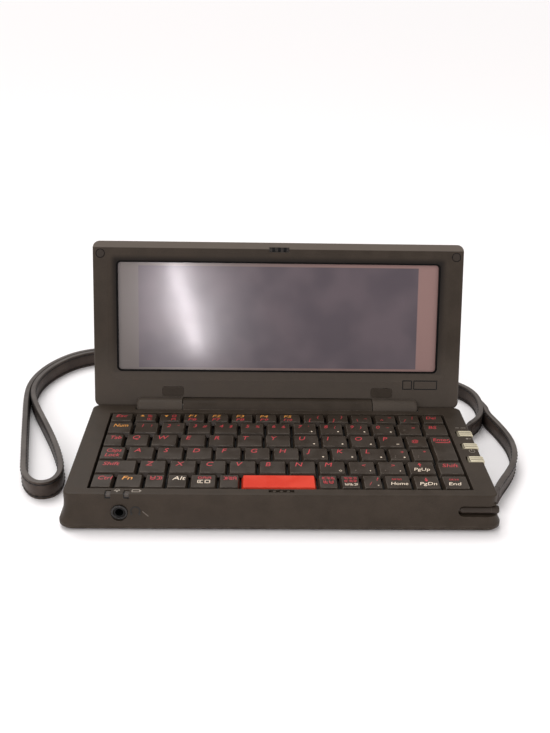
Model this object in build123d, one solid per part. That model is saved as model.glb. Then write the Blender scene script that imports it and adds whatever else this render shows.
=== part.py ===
from build123d import *
import os
from math import atan2, cos, degrees, hypot, pi, radians, sin, sqrt, tan

# Handheld computer with a keyboard deck and a hinged display lid.
# Millimetres, X to the right, Y to the back, Z up; the origin lies on the table,
# under the middle of the open machine.  The lid is drawn shut and then opened.

# Plan of the machine
body_width = 186.0
front_y = -58.0
hinge_y = 25.0
corner_radius = 3.6
wall = 1.8

# Heights of the base
foot_height = 0.8
split_z = 2.2
deck_z = 17.0
deck_thickness = 1.6

# Skirt that flares out below the deck
skirt_flare = 2.6
skirt_drop = 4.0
skirt_lip_z = 3.2
skirt_round = 1.0

# Lid
lid_gap = 0.4
lid_thickness = 11.5
lid_overhang = 0.4
lid_tail = 0.3
lid_wall = 1.6
lid_edge_round = 1.3
lid_back_round = 2.6
finger_slope_width = 3.0
finger_slope_depth = 1.25
bezel_thickness = 2.0
bezel_depth = 4.5
dish_width = 4.4
dish_depth = 0.6
opening_angle = 106.4

# Hinge
hinge_drop = 1.1
barrel_radius = 4.8
barrel_half = 47.8
knuckle_gap = 0.4
knuckle_length = 23.0
knuckle_wall = 1.5
knuckle_end_round = 2.0
hinge_clearance = 0.3
cove_wall = 1.2
pin_radius = 1.9
pin_bore = 1.2
pin_grip = 9.8
pin_end_gap = 5.2
pin_play = 0.05
clip_wall = 1.1
clip_step = 1.8
clip_length = 14.0
clip_leaf = 1.0
clip_leaf_reach = 15.5

# Display window and its stack, seen in the shut lid
window_side = 11.5
window_near = 18.0
window_front = 9.6
window_round = 2.4
panel_margin = 2.4
glass_thickness = 1.0
lcd_inset = 6.5
lcd_thickness = 2.0
tray_thickness = 3.0
stack_play = 0.05
driver_step = 3.8
lid_screw_inset = 4.0
lid_screw_front = 6.2
lid_screw_radius = 0.8
lid_screw_head = 1.6
lid_boss_radius = 2.0
bumper_radius = 2.0
tab_width = 10.8
tab_near = 5.4
tab_depth = 4.9
tab_round = 1.4
tab_proud = 0.25
tab_seat = 0.6

# Keyboard
well_side = 9.8
well_front_band = 4.7
well_back_band = 8.4
keys_play = 0.2
keys_back_play = 0.5
key_top_drop = 0.1
key_height = 2.4
key_travel = 1.2
key_side_play = 0.35
key_slope = 0.85
key_corner = 0.5
stem_size = 2.4
stem_play = 0.2
stem_reach = 1.55
frame_thickness = 1.0
dome_radius = 2.2
dome_height = 0.15
sheet_thickness = 0.35
plate_thickness = 0.4
rim_wall = 1.0
rim_play = 0.2
stack_front_step = 0.6
peg_radius = 0.8

# Rows from the back to the front: the depth of each row and the widths of its keys,
# left to right, both in shares that fill the well.  The tall enter key stands at the
# right end of the third and fourth rows.
enter_share = 11.7
row_depths = {
    "row1_keys": 9.4, "row2_keys": 12.0, "row3_keys": 12.0, "row4_keys": 12.0,
    "row5_keys": 12.0, "row6_keys": 12.0,
}
row_widths = {
    "row1_keys": 14 * [11.857],
    "row2_keys": 13 * [12.769],
    "row3_keys": [10.2, 12.0] + 9 * [13.4] + [11.5],
    "row4_keys": [12.6] + 9 * [13.35] + 2 * [10.775],
    "row5_keys": [19.2] + 9 * [13.4] + [13.6, 12.6],
    "row6_keys": [10.4, 12.8, 9.6, 10.0, 12.6, 10.0, 33.4] + 3 * [9.7] + 3 * [12.7],
}
full_row = 166.0

# Latch at the middle of the front edge
latch_inset = 3.1
latch_width = 11.0
latch_depth = 2.2
catch_height = 2.4
catch_bumps = 3
catch_pitch = 3.0
comb_width = 10.0
comb_depth = 2.4
comb_teeth = 4
comb_recess = 1.2

# Headphone socket
jack_inset = 23.9
socket_rise = 2.5
jack_ring_radius = 3.6
jack_sleeve_radius = 3.0
jack_nose_radius = 2.3
jack_bore = 1.8
jack_width = 6.4
jack_length = 12.0
jack_roof_gap = 0.1

# Charging socket on the left wall
inlet_step = 45.0
inlet_nose_radius = 2.8
inlet_bore = 2.0
inlet_pin = 0.6
inlet_length = 10.0

# Stylus in the groove of the front face
stylus_inset = 1.5
stylus_drop = 7.6
grip_radius = 1.75
grip_length = 13.6
head_length = 3.6
head_proud = 1.0
shaft_radius = 1.15
shaft_length = 62.8
tip_length = 5.0
groove_play = 0.65
shaft_play = 0.2
tube_wall = 0.95

# Three side buttons
button_first = 19.6
button_pitch = 12.1
button_count = 3
button_width = 4.9
button_inset = 6.4
button_proud = 0.4
button_rise = 0.25
button_play = 0.15
button_depth = 4.0
button_travel = 0.7
button_slack = 1.1
leg_inset = 5.3
leg_thickness = 1.2
leg_width = 2.0
leg_length = 3.6

# Indicator lenses over the front edge of the deck
lens_insets = [19.25, 27.1]
lens_width = 2.3
lens_length = 3.3
lens_height = 1.9
lens_drop = 0.3

# Boards, cell and small parts
board_z = 4.5
board_thickness = 1.2
board_play = 0.7
board_front_gap = 0.6
board_back_gap = 3.0
battery_side_gap = 9.0
battery_cable_gap = 12.0
battery_depth = 26.0
battery_back_gap = 2.2
battery_floor_gap = 0.3
battery_roof_gap = 0.7
cover_play = 0.25
cover_lap = 5.0
cover_screw_step = 2.6
ledge_reach = 8.0
ledge_height = 1.4
ledge_half = 5.0
cable_radius = 0.9
cable_step = 6.0
cable_inset = 6.0
cable_drop = 1.5
cable_rise_step = 2.3
cable_lid_step = 11.5
cable_bend = 0.95
plug_half = 4.0
plug_depth = 4.0
plug_height = 2.6
chip_heights = {"processor": 1.6, "memory": 1.1, "power": 1.4, "sound": 1.0}
speaker_inset = 19.0
speaker_step = 17.0
speaker_radius = 9.0
speaker_height = 3.4
speaker_pitch = 5.0
speaker_hole = 1.0
foot_inset = 11.0
foot_front = 14.0
foot_back = 13.0
foot_radius = 4.5
foot_seat = 0.4
backup_x = 62.0
backup_step = 12.0
backup_radius = 6.25
backup_height = 2.0
post_radius = 2.4
boss_inset = 5.2
boss_edge = 4.8
boss_radius = 3.6
screw_radius = 0.95
screw_head = 2.0
screw_head_height = 0.8
case_screw_length = 7.0
cover_screw_length = 2.4
screw_play = 0.05

# Strap, a flat leather band that stands on its edge on the table
strap_width = 9.0
strap_thickness = 2.5
strap_pin_inset = 1.1
strap_pin_radius = 0.9
loop_outer = 2.1
loop_play = 0.1
tongue_height = 4.4
tongue_thickness = 1.6
tongue_waist = 3.6
pocket_back = 3.6
pocket_reach = {"rear": 4.8, "front": 6.8}
pocket_depth = 3.6
pocket_z0 = 3.4
pocket_height = 5.2
strap_arc_share = 0.45

# The strap's route on the table, from the rear pin round the back to the left and
# home again, and the side strap's from its seam on the first one to the front pin
strap_route = [
    (99.6, 23.9), (106.2, 29.9), (109.6, 42.0), (109.2, 57.0), (102.0, 69.5),
    (84.0, 84.0), (52.0, 99.5), (8.0, 109.0), (-38.0, 114.5), (-80.0, 116.5),
    (-108.0, 111.5), (-126.0, 96.0), (-135.0, 75.0), (-135.2, 56.0), (-130.4, 29.0),
    (-122.6, 1.0), (-119.0, -19.8), (-116.9, -30.4), (-112.9, -34.3), (-107.3, -35.0),
    (-102.4, -32.3), (-100.0, -27.3), (-102.1, -16.6), (-106.3, -2.6), (-114.0, 15.0),
    (-124.8, 36.5), (-130.9, 54.0), (-131.4, 74.2), (-123.0, 93.8), (-106.4, 108.1),
    (-79.8, 112.9), (-38.3, 110.9), (-12.4, 107.8),
]
side_strap_route = [
    (112.3, 43.0), (111.6, 37.5), (113.7, 29.0), (116.4, 19.0), (117.2, 7.0),
    (115.0, -7.0), (111.0, -19.5), (104.9, -29.6), (98.2, -37.7),
]
keeper_length = 12.0
keeper_wall = 1.0
keeper_play = 0.2
strand_gap = 3.6

# Values worked out from the sizes above
half_width = body_width / 2
reach = 2 * body_width
skirt_top = deck_z - skirt_drop
hinge_z = deck_z - hinge_drop
knuckle_start = barrel_half + knuckle_gap
knuckle_end = knuckle_start + knuckle_length
pin_inner_end = barrel_half - pin_grip
pin_outer_end = knuckle_end - pin_end_gap
clip_inner_end = knuckle_start + clip_step
bezel_z = deck_z + lid_gap
lid_top_z = bezel_z + lid_thickness
lid_front_y = front_y - lid_overhang
lid_rear_y = hinge_y + lid_tail
lid_split_z = bezel_z + bezel_depth
bezel_inner_z = bezel_z + bezel_thickness
window_width = body_width - 2 * window_side
window_far = hinge_y - lid_front_y - window_front
lcd_width = window_width - 2 * lcd_inset
driver_end = barrel_half - driver_step
key_top_z = deck_z - key_top_drop
cap_bottom_z = key_top_z - key_height
frame_top_z = cap_bottom_z - key_travel - 0.1
frame_bottom_z = frame_top_z - frame_thickness
stem_bottom_z = cap_bottom_z - stem_reach
sheet_top_z = stem_bottom_z - key_travel - 0.05 - dome_height
sheet_bottom_z = sheet_top_z - sheet_thickness
plate_bottom_z = sheet_bottom_z - plate_thickness
board_top_z = board_z + board_thickness
case_inner_x = half_width - wall
case_inner_front = front_y + wall
case_inner_back = hinge_y - wall
well_half = half_width - well_side
well_front = front_y + well_front_band
well_back = hinge_y - well_back_band
keys_width = 2 * (well_half - keys_play)
keys_depth = well_back - well_front - keys_back_play
latch_y = front_y + latch_inset
jack_x = jack_inset - half_width
jack_z = board_top_z + socket_rise
jack_height = plate_bottom_z - board_top_z - jack_roof_gap
inlet_y = hinge_y - inlet_step
stylus_y = front_y + stylus_inset
stylus_z = deck_z - stylus_drop
stylus_end = half_width + head_proud
head_start = stylus_end - head_length
grip_start = head_start - grip_length
shaft_start = grip_start - shaft_length
button_ys = [well_back - button_first - index * button_pitch for index in range(button_count)]
button_inner_x = half_width - button_inset
button_floor_z = deck_z - button_depth
leg_x = half_width - leg_inset
leg_bottom = button_floor_z - leg_length
lens_xs = [inset - half_width for inset in lens_insets]
lens_back = front_y + lens_length
boss_x = half_width - boss_inset
boss_ys = [front_y + boss_edge, hinge_y - boss_edge]
board_half = boss_x - boss_radius - board_play
board_front = case_inner_front + board_front_gap
speaker_x = speaker_inset - half_width
speaker_y = hinge_y - speaker_step
cable_x = pin_inner_end - cable_step
cable_y = hinge_y - cable_inset
battery_x0 = speaker_x + speaker_radius + battery_side_gap
battery_x1 = cable_x - battery_cable_gap
battery_back = case_inner_back - battery_back_gap
battery_front = battery_back - battery_depth
battery_height = plate_bottom_z - split_z - battery_floor_gap - battery_roof_gap
board_back = battery_front - board_back_gap
backup_y = board_back - backup_step
foot_x = half_width - foot_inset
foot_ys = [front_y + foot_front, hinge_y - foot_back]
strap_pin_x = half_width - strap_pin_inset
cove_radius = barrel_radius + hinge_clearance
groove_half = grip_radius + groove_play
knuckle_bore = barrel_radius - knuckle_wall
opening_axis = Axis((0, hinge_y, hinge_z), (1, 0, 0))


def block(x0, x1, y0, y1, z0, z1):
    """A box between two opposite corners."""
    middle = Pos((x0 + x1) / 2, (y0 + y1) / 2, (z0 + z1) / 2)
    return middle * Box(x1 - x0, y1 - y0, z1 - z0)


def slab(z0, z1):
    """All that lies between two heights."""
    return block(-reach, reach, -reach, reach, z0, z1)


def rod_x(x0, x1, y, z, radius):
    """A round bar along X."""
    return Pos((x0 + x1) / 2, y, z) * Rot(0, 90, 0) * Cylinder(radius, x1 - x0)


def rod_y(x, y0, y1, z, radius):
    """A round bar along Y."""
    return Pos(x, (y0 + y1) / 2, z) * Rot(90, 0, 0) * Cylinder(radius, y1 - y0)


def rod_z(x, y, z0, z1, radius):
    """A round bar along Z."""
    return Pos(x, y, (z0 + z1) / 2) * Cylinder(radius, z1 - z0)


def save(name, shape):
    """Write one sub-part to its own file."""
    export_step(shape, "parts/" + name + ".step")


def opened(shape):
    """Turn a piece of the shut lid to where the open lid carries it."""
    return shape.rotate(opening_axis, -opening_angle)


def skirt_offset(z):
    """How far the cove of the skirt stands out from the wall at a height."""
    rise = skirt_top - skirt_lip_z
    radius = (rise ** 2 + skirt_flare ** 2) / (2 * skirt_flare)
    drop = skirt_top - z
    return radius - sqrt(radius ** 2 - drop ** 2)


def plan(grow):
    """The deck's outline, grown sideways."""
    depth = hinge_y - front_y + 2 * grow
    outline = RectangleRounded(body_width + 2 * grow, depth, corner_radius + grow)
    return Pos(0, (front_y + hinge_y) / 2) * outline


def base_envelope():
    """The base's outside: an upright wall with a coved skirt run round it."""
    core = extrude(Pos(0, 0, foot_height) * plan(0), deck_z - foot_height)
    core = fillet(core.faces().sort_by(Axis.Z)[-1].edges(), 0.7)
    rim = plan(0).face().outer_wire()
    start = rim @ 0
    along = rim % 0
    outward = along.cross(Vector(0, 0, 1))
    if outward.dot(start - Vector(0, (front_y + hinge_y) / 2, 0)) < 0:
        outward = outward * -1
        along = along * -1
    section = Plane(origin=start, x_dir=outward, z_dir=along * -1)
    middle_z = (skirt_top + skirt_lip_z) / 2
    lip_round_z = foot_height + skirt_round
    edge = [
        ThreePointArc((0, skirt_top), (skirt_offset(middle_z), middle_z), (skirt_flare, skirt_lip_z)),
        Line((skirt_flare, skirt_lip_z), (skirt_flare, lip_round_z)),
        RadiusArc((skirt_flare, lip_round_z), (skirt_flare - skirt_round, foot_height), -skirt_round),
        Line((skirt_flare - skirt_round, foot_height), (-1.0, foot_height)),
        Line((-1.0, foot_height), (-1.0, skirt_top)),
        Line((-1.0, skirt_top), (0, skirt_top)),
    ]
    profile = make_face(Wire(edge))
    skirt = sweep(section * profile, path=rim)
    return core + skirt


def key_cells():
    """Every key's node, middle and size, row by row from the back."""
    cells = []
    across = keys_width / full_row
    along = keys_depth / sum(row_depths.values())
    top = well_back
    for row, widths in row_widths.items():
        depth = row_depths[row] * along
        left = -keys_width / 2
        for share in widths:
            width = share * across
            cells.append([row, left + width / 2, top - depth / 2, width, depth])
            left += width
        if row == "row3_keys":
            tall = depth + row_depths["row4_keys"] * along
            wide = enter_share * across
            cells.append(["enter_key", left + wide / 2, top - tall / 2, wide, tall])
        top -= depth
    widest = max((cell for cell in cells if cell[0] == "row6_keys"), key=lambda cell: cell[3])
    widest[0] = "space_key"
    shifts = [cell for cell in cells if cell[0] == "row5_keys"]
    shifts[0][0] = "left_shift_key"
    shifts[-1][0] = "right_shift_key"
    return cells


def key_cap(x, y, width, depth):
    """A key cap with sloped sides, and the stem that guides it."""
    foot = Rectangle(width - 2 * key_side_play, depth - 2 * key_side_play)
    cap = extrude(foot, key_height, taper=degrees(atan2(key_slope, key_height)))
    corners = cap.edges().filter_by(lambda edge: abs((edge % 0.5).Z) > 0.5)
    cap = fillet(corners, key_corner)
    cap = Pos(x, y, cap_bottom_z) * cap
    half = stem_size / 2
    return cap + block(x - half, x + half, y - half, y + half, stem_bottom_z, cap_bottom_z + 0.4)


def keyboard():
    """Keys by row, with the guide frame, dome sheet and back plate under them."""
    cells = key_cells()
    nodes = {}
    for name, x, y, width, depth in cells:
        nodes.setdefault(name, []).append(key_cap(x, y, width, depth))
    for name, caps in nodes.items():
        save(name, Compound(children=caps))
    side = well_half + rim_wall - rim_play
    near = well_front + stack_front_step
    far = well_back + rim_wall - rim_play
    frame = block(-side, side, near, far, frame_bottom_z, frame_top_z)
    sheet = block(-side, side, near, far, sheet_bottom_z, sheet_top_z)
    half = stem_size / 2 + stem_play
    holes = []
    domes = []
    for name, x, y, width, depth in cells:
        holes.append(block(x - half, x + half, y - half, y + half, frame_bottom_z - 1, frame_top_z + 1))
        domes.append(rod_z(x, y, sheet_top_z - 0.1, sheet_top_z + dome_height, dome_radius))
    frame = frame - holes
    for x in (1 - side, side - 1):
        for y in (near + 1, (near + far) / 2, far - 1):
            frame = frame + rod_z(x, y, sheet_top_z, frame_bottom_z + 0.1, peg_radius)
    save("keyboard_frame", frame)
    save("dome_sheet", sheet + domes)
    save("keyboard_plate", block(-side, side, near, far, plate_bottom_z, sheet_bottom_z))


def button_notch(y):
    """Room in the case for one side button, open at the top and the side."""
    half = button_width / 2 + button_play
    notch = block(button_inner_x - button_slack, half_width + 3, y - half, y + half,
                  button_floor_z, deck_z + 1)
    slot_half = leg_width / 2 + 0.3
    slot = block(leg_x - button_travel - 0.2, leg_x + leg_thickness + 0.3, y - slot_half, y + slot_half,
                 button_floor_z - 3, button_floor_z + 1)
    return notch + slot


def stylus_groove():
    """The open groove with its rounded inner end, and the bore for the shaft."""
    half = groove_half
    start = grip_start - 0.7 + half
    groove = block(start, half_width + 4, front_y - 4, stylus_y + half, stylus_z - half, stylus_z + half)
    end = rod_y(start, front_y - 4, stylus_y + half, stylus_z, half)
    bore = rod_x(shaft_start - tip_length - 1, start, stylus_y, stylus_z, shaft_radius + shaft_play)
    return groove + end + bore


def strap_anchor(which):
    """Where the strap's end points and where its pin stands, from its route's first run."""
    points = {"rear": strap_route[:2], "front": side_strap_route[:-3:-1]}[which]
    (x0, y0), (x1, y1) = points
    heading = atan2(y1 - y0, x1 - x0)
    length = (x0 - strap_pin_x) / cos(heading)
    return degrees(heading), length, y0 - length * sin(heading)


def strap_pin(which, radius):
    """The upright pin that one end of the strap turns on."""
    return rod_z(strap_pin_x, strap_anchor(which)[2], split_z + 0.2, pocket_z0 + pocket_height + 1.0, radius)


def strap_pocket(which, grow, z0, z1):
    """A pocket in the right wall for one end of the strap, or a block grown around it."""
    y = strap_anchor(which)[2]
    return block(half_width - pocket_depth - grow, half_width + 4, y - pocket_back - grow,
                 y + pocket_reach[which] + grow, z0, z1)


def base_cases():
    """The upper case with deck and walls, and the lower case that closes it."""
    envelope = base_envelope()
    cavity = block(-case_inner_x, case_inner_x, case_inner_front, case_inner_back,
                   split_z - 3, deck_z - deck_thickness)
    upper = (envelope & slab(split_z, deck_z + 1)) - cavity
    inside = block(-half_width + 0.5, half_width - 0.5, front_y + 0.5, hinge_y - 0.4, split_z, deck_z - 0.5)

    # Walls and seats that stand inside the case
    rim = block(-well_half - rim_wall, well_half + rim_wall, well_front - rim_wall, well_back + rim_wall,
                frame_top_z, deck_z - 0.5)
    added = [rim]
    for side in (-1, 1):
        added += [rod_z(side * boss_x, y, split_z, frame_bottom_z, boss_radius) for y in boss_ys]
    added.append(block(well_half + rim_wall, half_width - 0.5, button_ys[-1] - 4, button_ys[0] + 4,
                       button_floor_z - 1.2, deck_z - 0.5))
    added.append(block(-latch_width / 2 - 1.5, latch_width / 2 + 1.5, front_y + 0.5, well_front,
                       deck_z - catch_height - 1.6, deck_z - 0.5))
    added.append(block(lens_xs[0] - 3, lens_xs[1] + 3, front_y + 0.5, lens_back + 0.6,
                       deck_z - lens_drop - lens_height - 1.6, deck_z - 0.5))
    added.append(block(grip_start - 2.5, half_width - 0.5, front_y + 0.5, stylus_y + groove_half + 1.2,
                       stylus_z - groove_half - 1.2, stylus_z + groove_half + 1.2))
    tube = shaft_radius + shaft_play + tube_wall
    added.append(rod_x(shaft_start - tip_length - 2, grip_start, stylus_y, stylus_z, tube))
    for which in pocket_reach:
        added.append(strap_pocket(which, 1.3, split_z, pocket_z0 + pocket_height + 1.4))
    for solid in added:
        upper = upper + (solid & inside)
    for side in (-1, 1):
        x0, x1 = sorted((side * (knuckle_start - 2), side * (knuckle_end + 1.2)))
        upper = upper + (rod_x(x0, x1, hinge_y, hinge_z, cove_radius + cove_wall) & inside)

    # Barrel, its bore, and the coves for the lid's knuckles
    upper = upper + rod_x(-barrel_half, barrel_half, hinge_y, hinge_z, barrel_radius)
    cuts = [rod_x(-barrel_half - 1, barrel_half + 1, hinge_y, hinge_z, pin_radius)]
    for side in (-1, 1):
        x0, x1 = sorted((side * barrel_half, side * (knuckle_end + hinge_clearance)))
        cuts.append(rod_x(x0, x1, hinge_y, hinge_z, cove_radius))
    cuts.append(block(cable_x - cable_radius - 0.2, cable_x + cable_radius + 0.2, cable_y - 1.2, hinge_y,
                      hinge_z - cable_drop - cable_radius - 0.5, hinge_z + cable_radius))

    # Openings for keys, buttons, lenses, latch, sockets, stylus and strap
    cuts.append(block(-well_half, well_half, well_front, well_back, frame_top_z - 1, deck_z + 1))
    cuts += [button_notch(y) for y in button_ys]
    for x in lens_xs:
        half = lens_width / 2 + 0.1
        cuts.append(block(x - half, x + half, front_y - 1, lens_back + 0.1,
                          deck_z - lens_drop - lens_height, deck_z + 1))
    half = latch_width / 2
    cuts.append(block(-half, half, latch_y - latch_depth / 2, latch_y + latch_depth / 2,
                      deck_z - catch_height, deck_z + 1))
    cuts.append(rod_y(jack_x, front_y - 3, front_y + 0.1, jack_z, jack_ring_radius + 0.05))
    cuts.append(rod_y(jack_x, front_y - 3, case_inner_front + 0.1, jack_z, jack_sleeve_radius + 0.05))
    cuts.append(rod_x(-half_width - 3, -case_inner_x + 0.1, inlet_y, jack_z, inlet_nose_radius + 0.05))
    cuts.append(stylus_groove())
    for which in pocket_reach:
        cuts.append(strap_pocket(which, 0, pocket_z0, pocket_z0 + pocket_height))
        cuts.append(strap_pin(which, strap_pin_radius))
    for side in (-1, 1):
        for y in boss_ys:
            cuts.append(rod_z(side * boss_x, y, split_z - 1, split_z + 6, screw_radius + screw_play))
    upper = upper - cuts
    save("base_upper_case", upper)

    lower = envelope & slab(0, split_z)
    lip_out = 0.15
    lip = block(-case_inner_x + lip_out, case_inner_x - lip_out, case_inner_front + lip_out,
                case_inner_back - lip_out, split_z, split_z + 2.0)
    lip = lip - block(-case_inner_x + 1.4, case_inner_x - 1.4, case_inner_front + 1.4,
                      case_inner_back - 1.4, split_z - 1, split_z + 3)
    for side in (-1, 1):
        for y in boss_ys:
            lip = lip - rod_z(side * boss_x, y, split_z - 1, split_z + 3, boss_radius + 0.2)
    for which in pocket_reach:
        lip = lip - strap_pocket(which, 1.5, split_z, split_z + 3)
    lower = lower + lip
    for x in (-board_half + 4, 0, board_half - 4):
        for y in (board_front + 5, board_back - 5):
            lower = lower + rod_z(x, y, split_z - 0.2, board_z, post_radius)
    hole = battery_hole(0)
    lower = lower - hole
    middle = (battery_front + battery_back) / 2
    for edge, side in ((battery_x0, -1), (battery_x1, 1)):
        x0, x1 = sorted((edge + side * ledge_reach, edge + side * 0.5))
        lower = lower + block(x0, x1, middle - ledge_half, middle + ledge_half, split_z,
                              split_z + ledge_height)
    for x, y in cover_screw_spots():
        lower = lower - rod_z(x, y, split_z - 1, split_z + 3, screw_radius + screw_play)
    for x, y in foot_spots():
        lower = lower - rod_z(x, y, 0, foot_height + foot_seat, foot_radius)
    for side in (-1, 1):
        for y in boss_ys:
            lower = lower - rod_z(side * boss_x, y, 0, foot_height + screw_head_height, screw_head + 0.1)
            lower = lower - rod_z(side * boss_x, y, 0, split_z + 1, screw_radius + 0.2)
    for column in (-1, 0, 1):
        for row in (-1, 0, 1):
            lower = lower - rod_z(speaker_x + column * speaker_pitch, speaker_y + row * speaker_pitch,
                                  0, split_z + 1, speaker_hole)
    save("base_lower_case", lower)


def battery_hole(play):
    """The opening under the battery, or the cover that fills it with play."""
    top = split_z if play else split_z + 1
    return block(battery_x0 - cover_lap + play, battery_x1 + cover_lap - play, battery_front - 1.5 + play,
                 battery_back + 1.5 - play, foot_height if play else 0, top)


def cover_screw_spots():
    """Middles of the two screws of the battery cover."""
    middle = (battery_front + battery_back) / 2
    return [(battery_x0 - cover_screw_step, middle), (battery_x1 + cover_screw_step, middle)]


def foot_spots():
    """Middles of the four rubber feet."""
    return [(side * foot_x, y) for side in (-1, 1) for y in foot_ys]


def screw(x, y, head_z, length):
    """A screw seen from below: its head, its cross slot and its shank."""
    head = rod_z(x, y, head_z, head_z + screw_head_height, screw_head)
    shank = rod_z(x, y, head_z + screw_head_height, head_z + length, screw_radius)
    slot = block(x - 1.2, x + 1.2, y - 0.2, y + 0.2, head_z - 0.1, head_z + 0.4)
    slot = slot + block(x - 0.2, x + 0.2, y - 1.2, y + 1.2, head_z - 0.1, head_z + 0.4)
    return head + shank - slot


def fasteners_and_feet():
    """Screws of the case and of the battery cover, and the feet."""
    spots = [(side * boss_x, y) for side in (-1, 1) for y in boss_ys]
    save("case_screws", Compound(children=[screw(x, y, foot_height, case_screw_length) for x, y in spots]))
    cover = battery_hole(cover_play)
    for x, y in cover_screw_spots():
        cover = cover - rod_z(x, y, 0, foot_height + screw_head_height, screw_head + 0.1)
        cover = cover - rod_z(x, y, 0, split_z + 1, screw_radius + 0.2)
    save("battery_cover", cover)
    small = [screw(x, y, foot_height, cover_screw_length) for x, y in cover_screw_spots()]
    save("battery_cover_screws", Compound(children=small))
    feet = []
    for x, y in foot_spots():
        foot = rod_z(x, y, 0, foot_height + foot_seat, foot_radius)
        feet.append(fillet(foot.edges().sort_by(Axis.Z)[0], 0.3))
    save("rubber_feet", Compound(children=feet))


def boards():
    """Main board, chips, cells, speaker and the two sockets."""
    board = block(-board_half, board_half, board_front, board_back, board_z, board_top_z)
    save("main_board", board)
    chips = [block(-38, -16, board_back - 26, board_back - 4, board_top_z,
                   board_top_z + chip_heights["processor"])]
    for x in (-2, 14):
        chips.append(block(x - 6, x + 6, board_back - 24, board_back - 6, board_top_z,
                           board_top_z + chip_heights["memory"]))
    chips.append(block(34, 44, board_back - 20, board_back - 10, board_top_z,
                       board_top_z + chip_heights["power"]))
    chips.append(block(50, 64, board_back - 34, board_back - 26, board_top_z,
                       board_top_z + chip_heights["sound"]))
    save("board_chips", Compound(children=chips))
    save("backup_cell", rod_z(backup_x, backup_y, board_top_z, board_top_z + backup_height, backup_radius))
    floor_z = split_z + battery_floor_gap
    pack = block(battery_x0, battery_x1, battery_front, battery_back, floor_z,
                 floor_z + battery_height)
    pack = fillet(pack.edges().filter_by(Axis.X), 2.0)
    save("battery_pack", pack)
    speaker = rod_z(speaker_x, speaker_y, split_z, split_z + speaker_height, speaker_radius)
    speaker = speaker - rod_z(speaker_x, speaker_y, split_z - 1, split_z + 0.8, speaker_radius - 1.2)
    save("speaker", speaker)

    half = jack_width / 2
    body = block(jack_x - half, jack_x + half, case_inner_front + 0.2, case_inner_front + jack_length,
                 board_top_z, board_top_z + jack_height)
    body = body + rod_y(jack_x, front_y - 0.4, case_inner_front + 1, jack_z, jack_nose_radius)
    body = body - rod_y(jack_x, front_y - 1, case_inner_front + jack_length - 2, jack_z, jack_bore)
    save("headphone_jack", body)
    ring_front = front_y - skirt_offset(jack_z) - 0.35
    ring = rod_y(jack_x, ring_front, front_y + 0.1, jack_z, jack_ring_radius)
    ring = fillet(ring.edges().sort_by(Axis.Y)[0], 0.35)
    ring = ring + rod_y(jack_x, front_y, case_inner_front, jack_z, jack_sleeve_radius)
    inner = jack_nose_radius + 0.05
    dish = Pos(jack_x, ring_front, jack_z) * Rot(90, 0, 0) * Cone(inner, inner + 0.85, 1.2)
    ring = ring - rod_y(jack_x, ring_front - 1, case_inner_front + 1, jack_z, inner) - dish
    save("jack_ring", ring)

    inlet = block(-case_inner_x + 0.1, -case_inner_x + inlet_length, inlet_y - 3.6, inlet_y + 3.6,
                  board_top_z, board_top_z + 5.0)
    inlet = inlet + rod_x(-half_width - 0.2, -case_inner_x + 1, inlet_y, jack_z, inlet_nose_radius)
    inlet = inlet - rod_x(-half_width - 1, -case_inner_x + inlet_length - 2, inlet_y, jack_z, inlet_bore)
    inlet = inlet + rod_x(-half_width + 1, -case_inner_x + inlet_length - 1, inlet_y, jack_z, inlet_pin)
    save("power_inlet", inlet)


def small_deck_parts():
    """Side buttons with their board, lenses and the latch catch."""
    names = ["rear_side_button", "middle_side_button", "front_side_button"]
    for name, y in zip(names, button_ys):
        half = button_width / 2
        cap = block(button_inner_x, half_width + button_proud, y - half, y + half,
                    button_floor_z + 0.2, deck_z + button_rise)
        cap = fillet(cap.edges().filter_by(Axis.Y).sort_by(Axis.Z)[-2:], 0.5)
        leg = block(leg_x, leg_x + leg_thickness, y - leg_width / 2, y + leg_width / 2,
                    leg_bottom, button_floor_z + 0.5)
        save(name, cap + leg)
    board_x = well_half + rim_wall + 0.7
    board_top = button_floor_z - 1.2
    board = block(board_x, board_x + 0.6, button_ys[-1] - 4, button_ys[0] + 4, board_top_z + 1, board_top)
    for y in button_ys:
        board = board + block(board_x + 0.5, leg_x - button_travel - 0.1, y - 2.2, y + 2.2,
                              leg_bottom - 0.4, leg_bottom + 1.6)
    save("button_board", board)
    for name, x in zip(["charge_lens", "alert_lens"], lens_xs):
        lens = block(x - lens_width / 2, x + lens_width / 2, front_y + 0.2, lens_back,
                     deck_z - lens_drop - lens_height, deck_z - lens_drop)
        save(name, fillet(lens.edges().filter_by(Axis.X).sort_by(Axis.Z)[-2:], 0.4))
    half = latch_width / 2 - 0.1
    depth = latch_depth / 2 - 0.1
    catch = block(-half, half, latch_y - depth, latch_y + depth, deck_z - catch_height, deck_z - 0.9)
    for index in range(catch_bumps):
        x = (index - (catch_bumps - 1) / 2) * catch_pitch
        catch = catch + rod_z(x, latch_y, deck_z - 1.2, deck_z - 0.1, 0.75)
    save("latch_catch", catch)


def stylus():
    """The stylus: a thin shaft with a thicker grip, its head and its tip."""
    grip = rod_x(grip_start, head_start, stylus_y, stylus_z, grip_radius)
    grip = fillet(grip.edges().sort_by(Axis.X)[0], 1.2)
    shaft = rod_x(shaft_start, grip_start + 1, stylus_y, stylus_z, shaft_radius)
    save("stylus_barrel", grip + shaft)
    head = rod_x(head_start, stylus_end, stylus_y, stylus_z, grip_radius)
    save("stylus_head", fillet(head.edges().sort_by(Axis.X)[-1], 0.6))
    cone = Pos(shaft_start - tip_length / 2, stylus_y, stylus_z) * Rot(0, -90, 0)
    save("stylus_tip", cone * Cone(shaft_radius, 0.45, tip_length))


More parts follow.
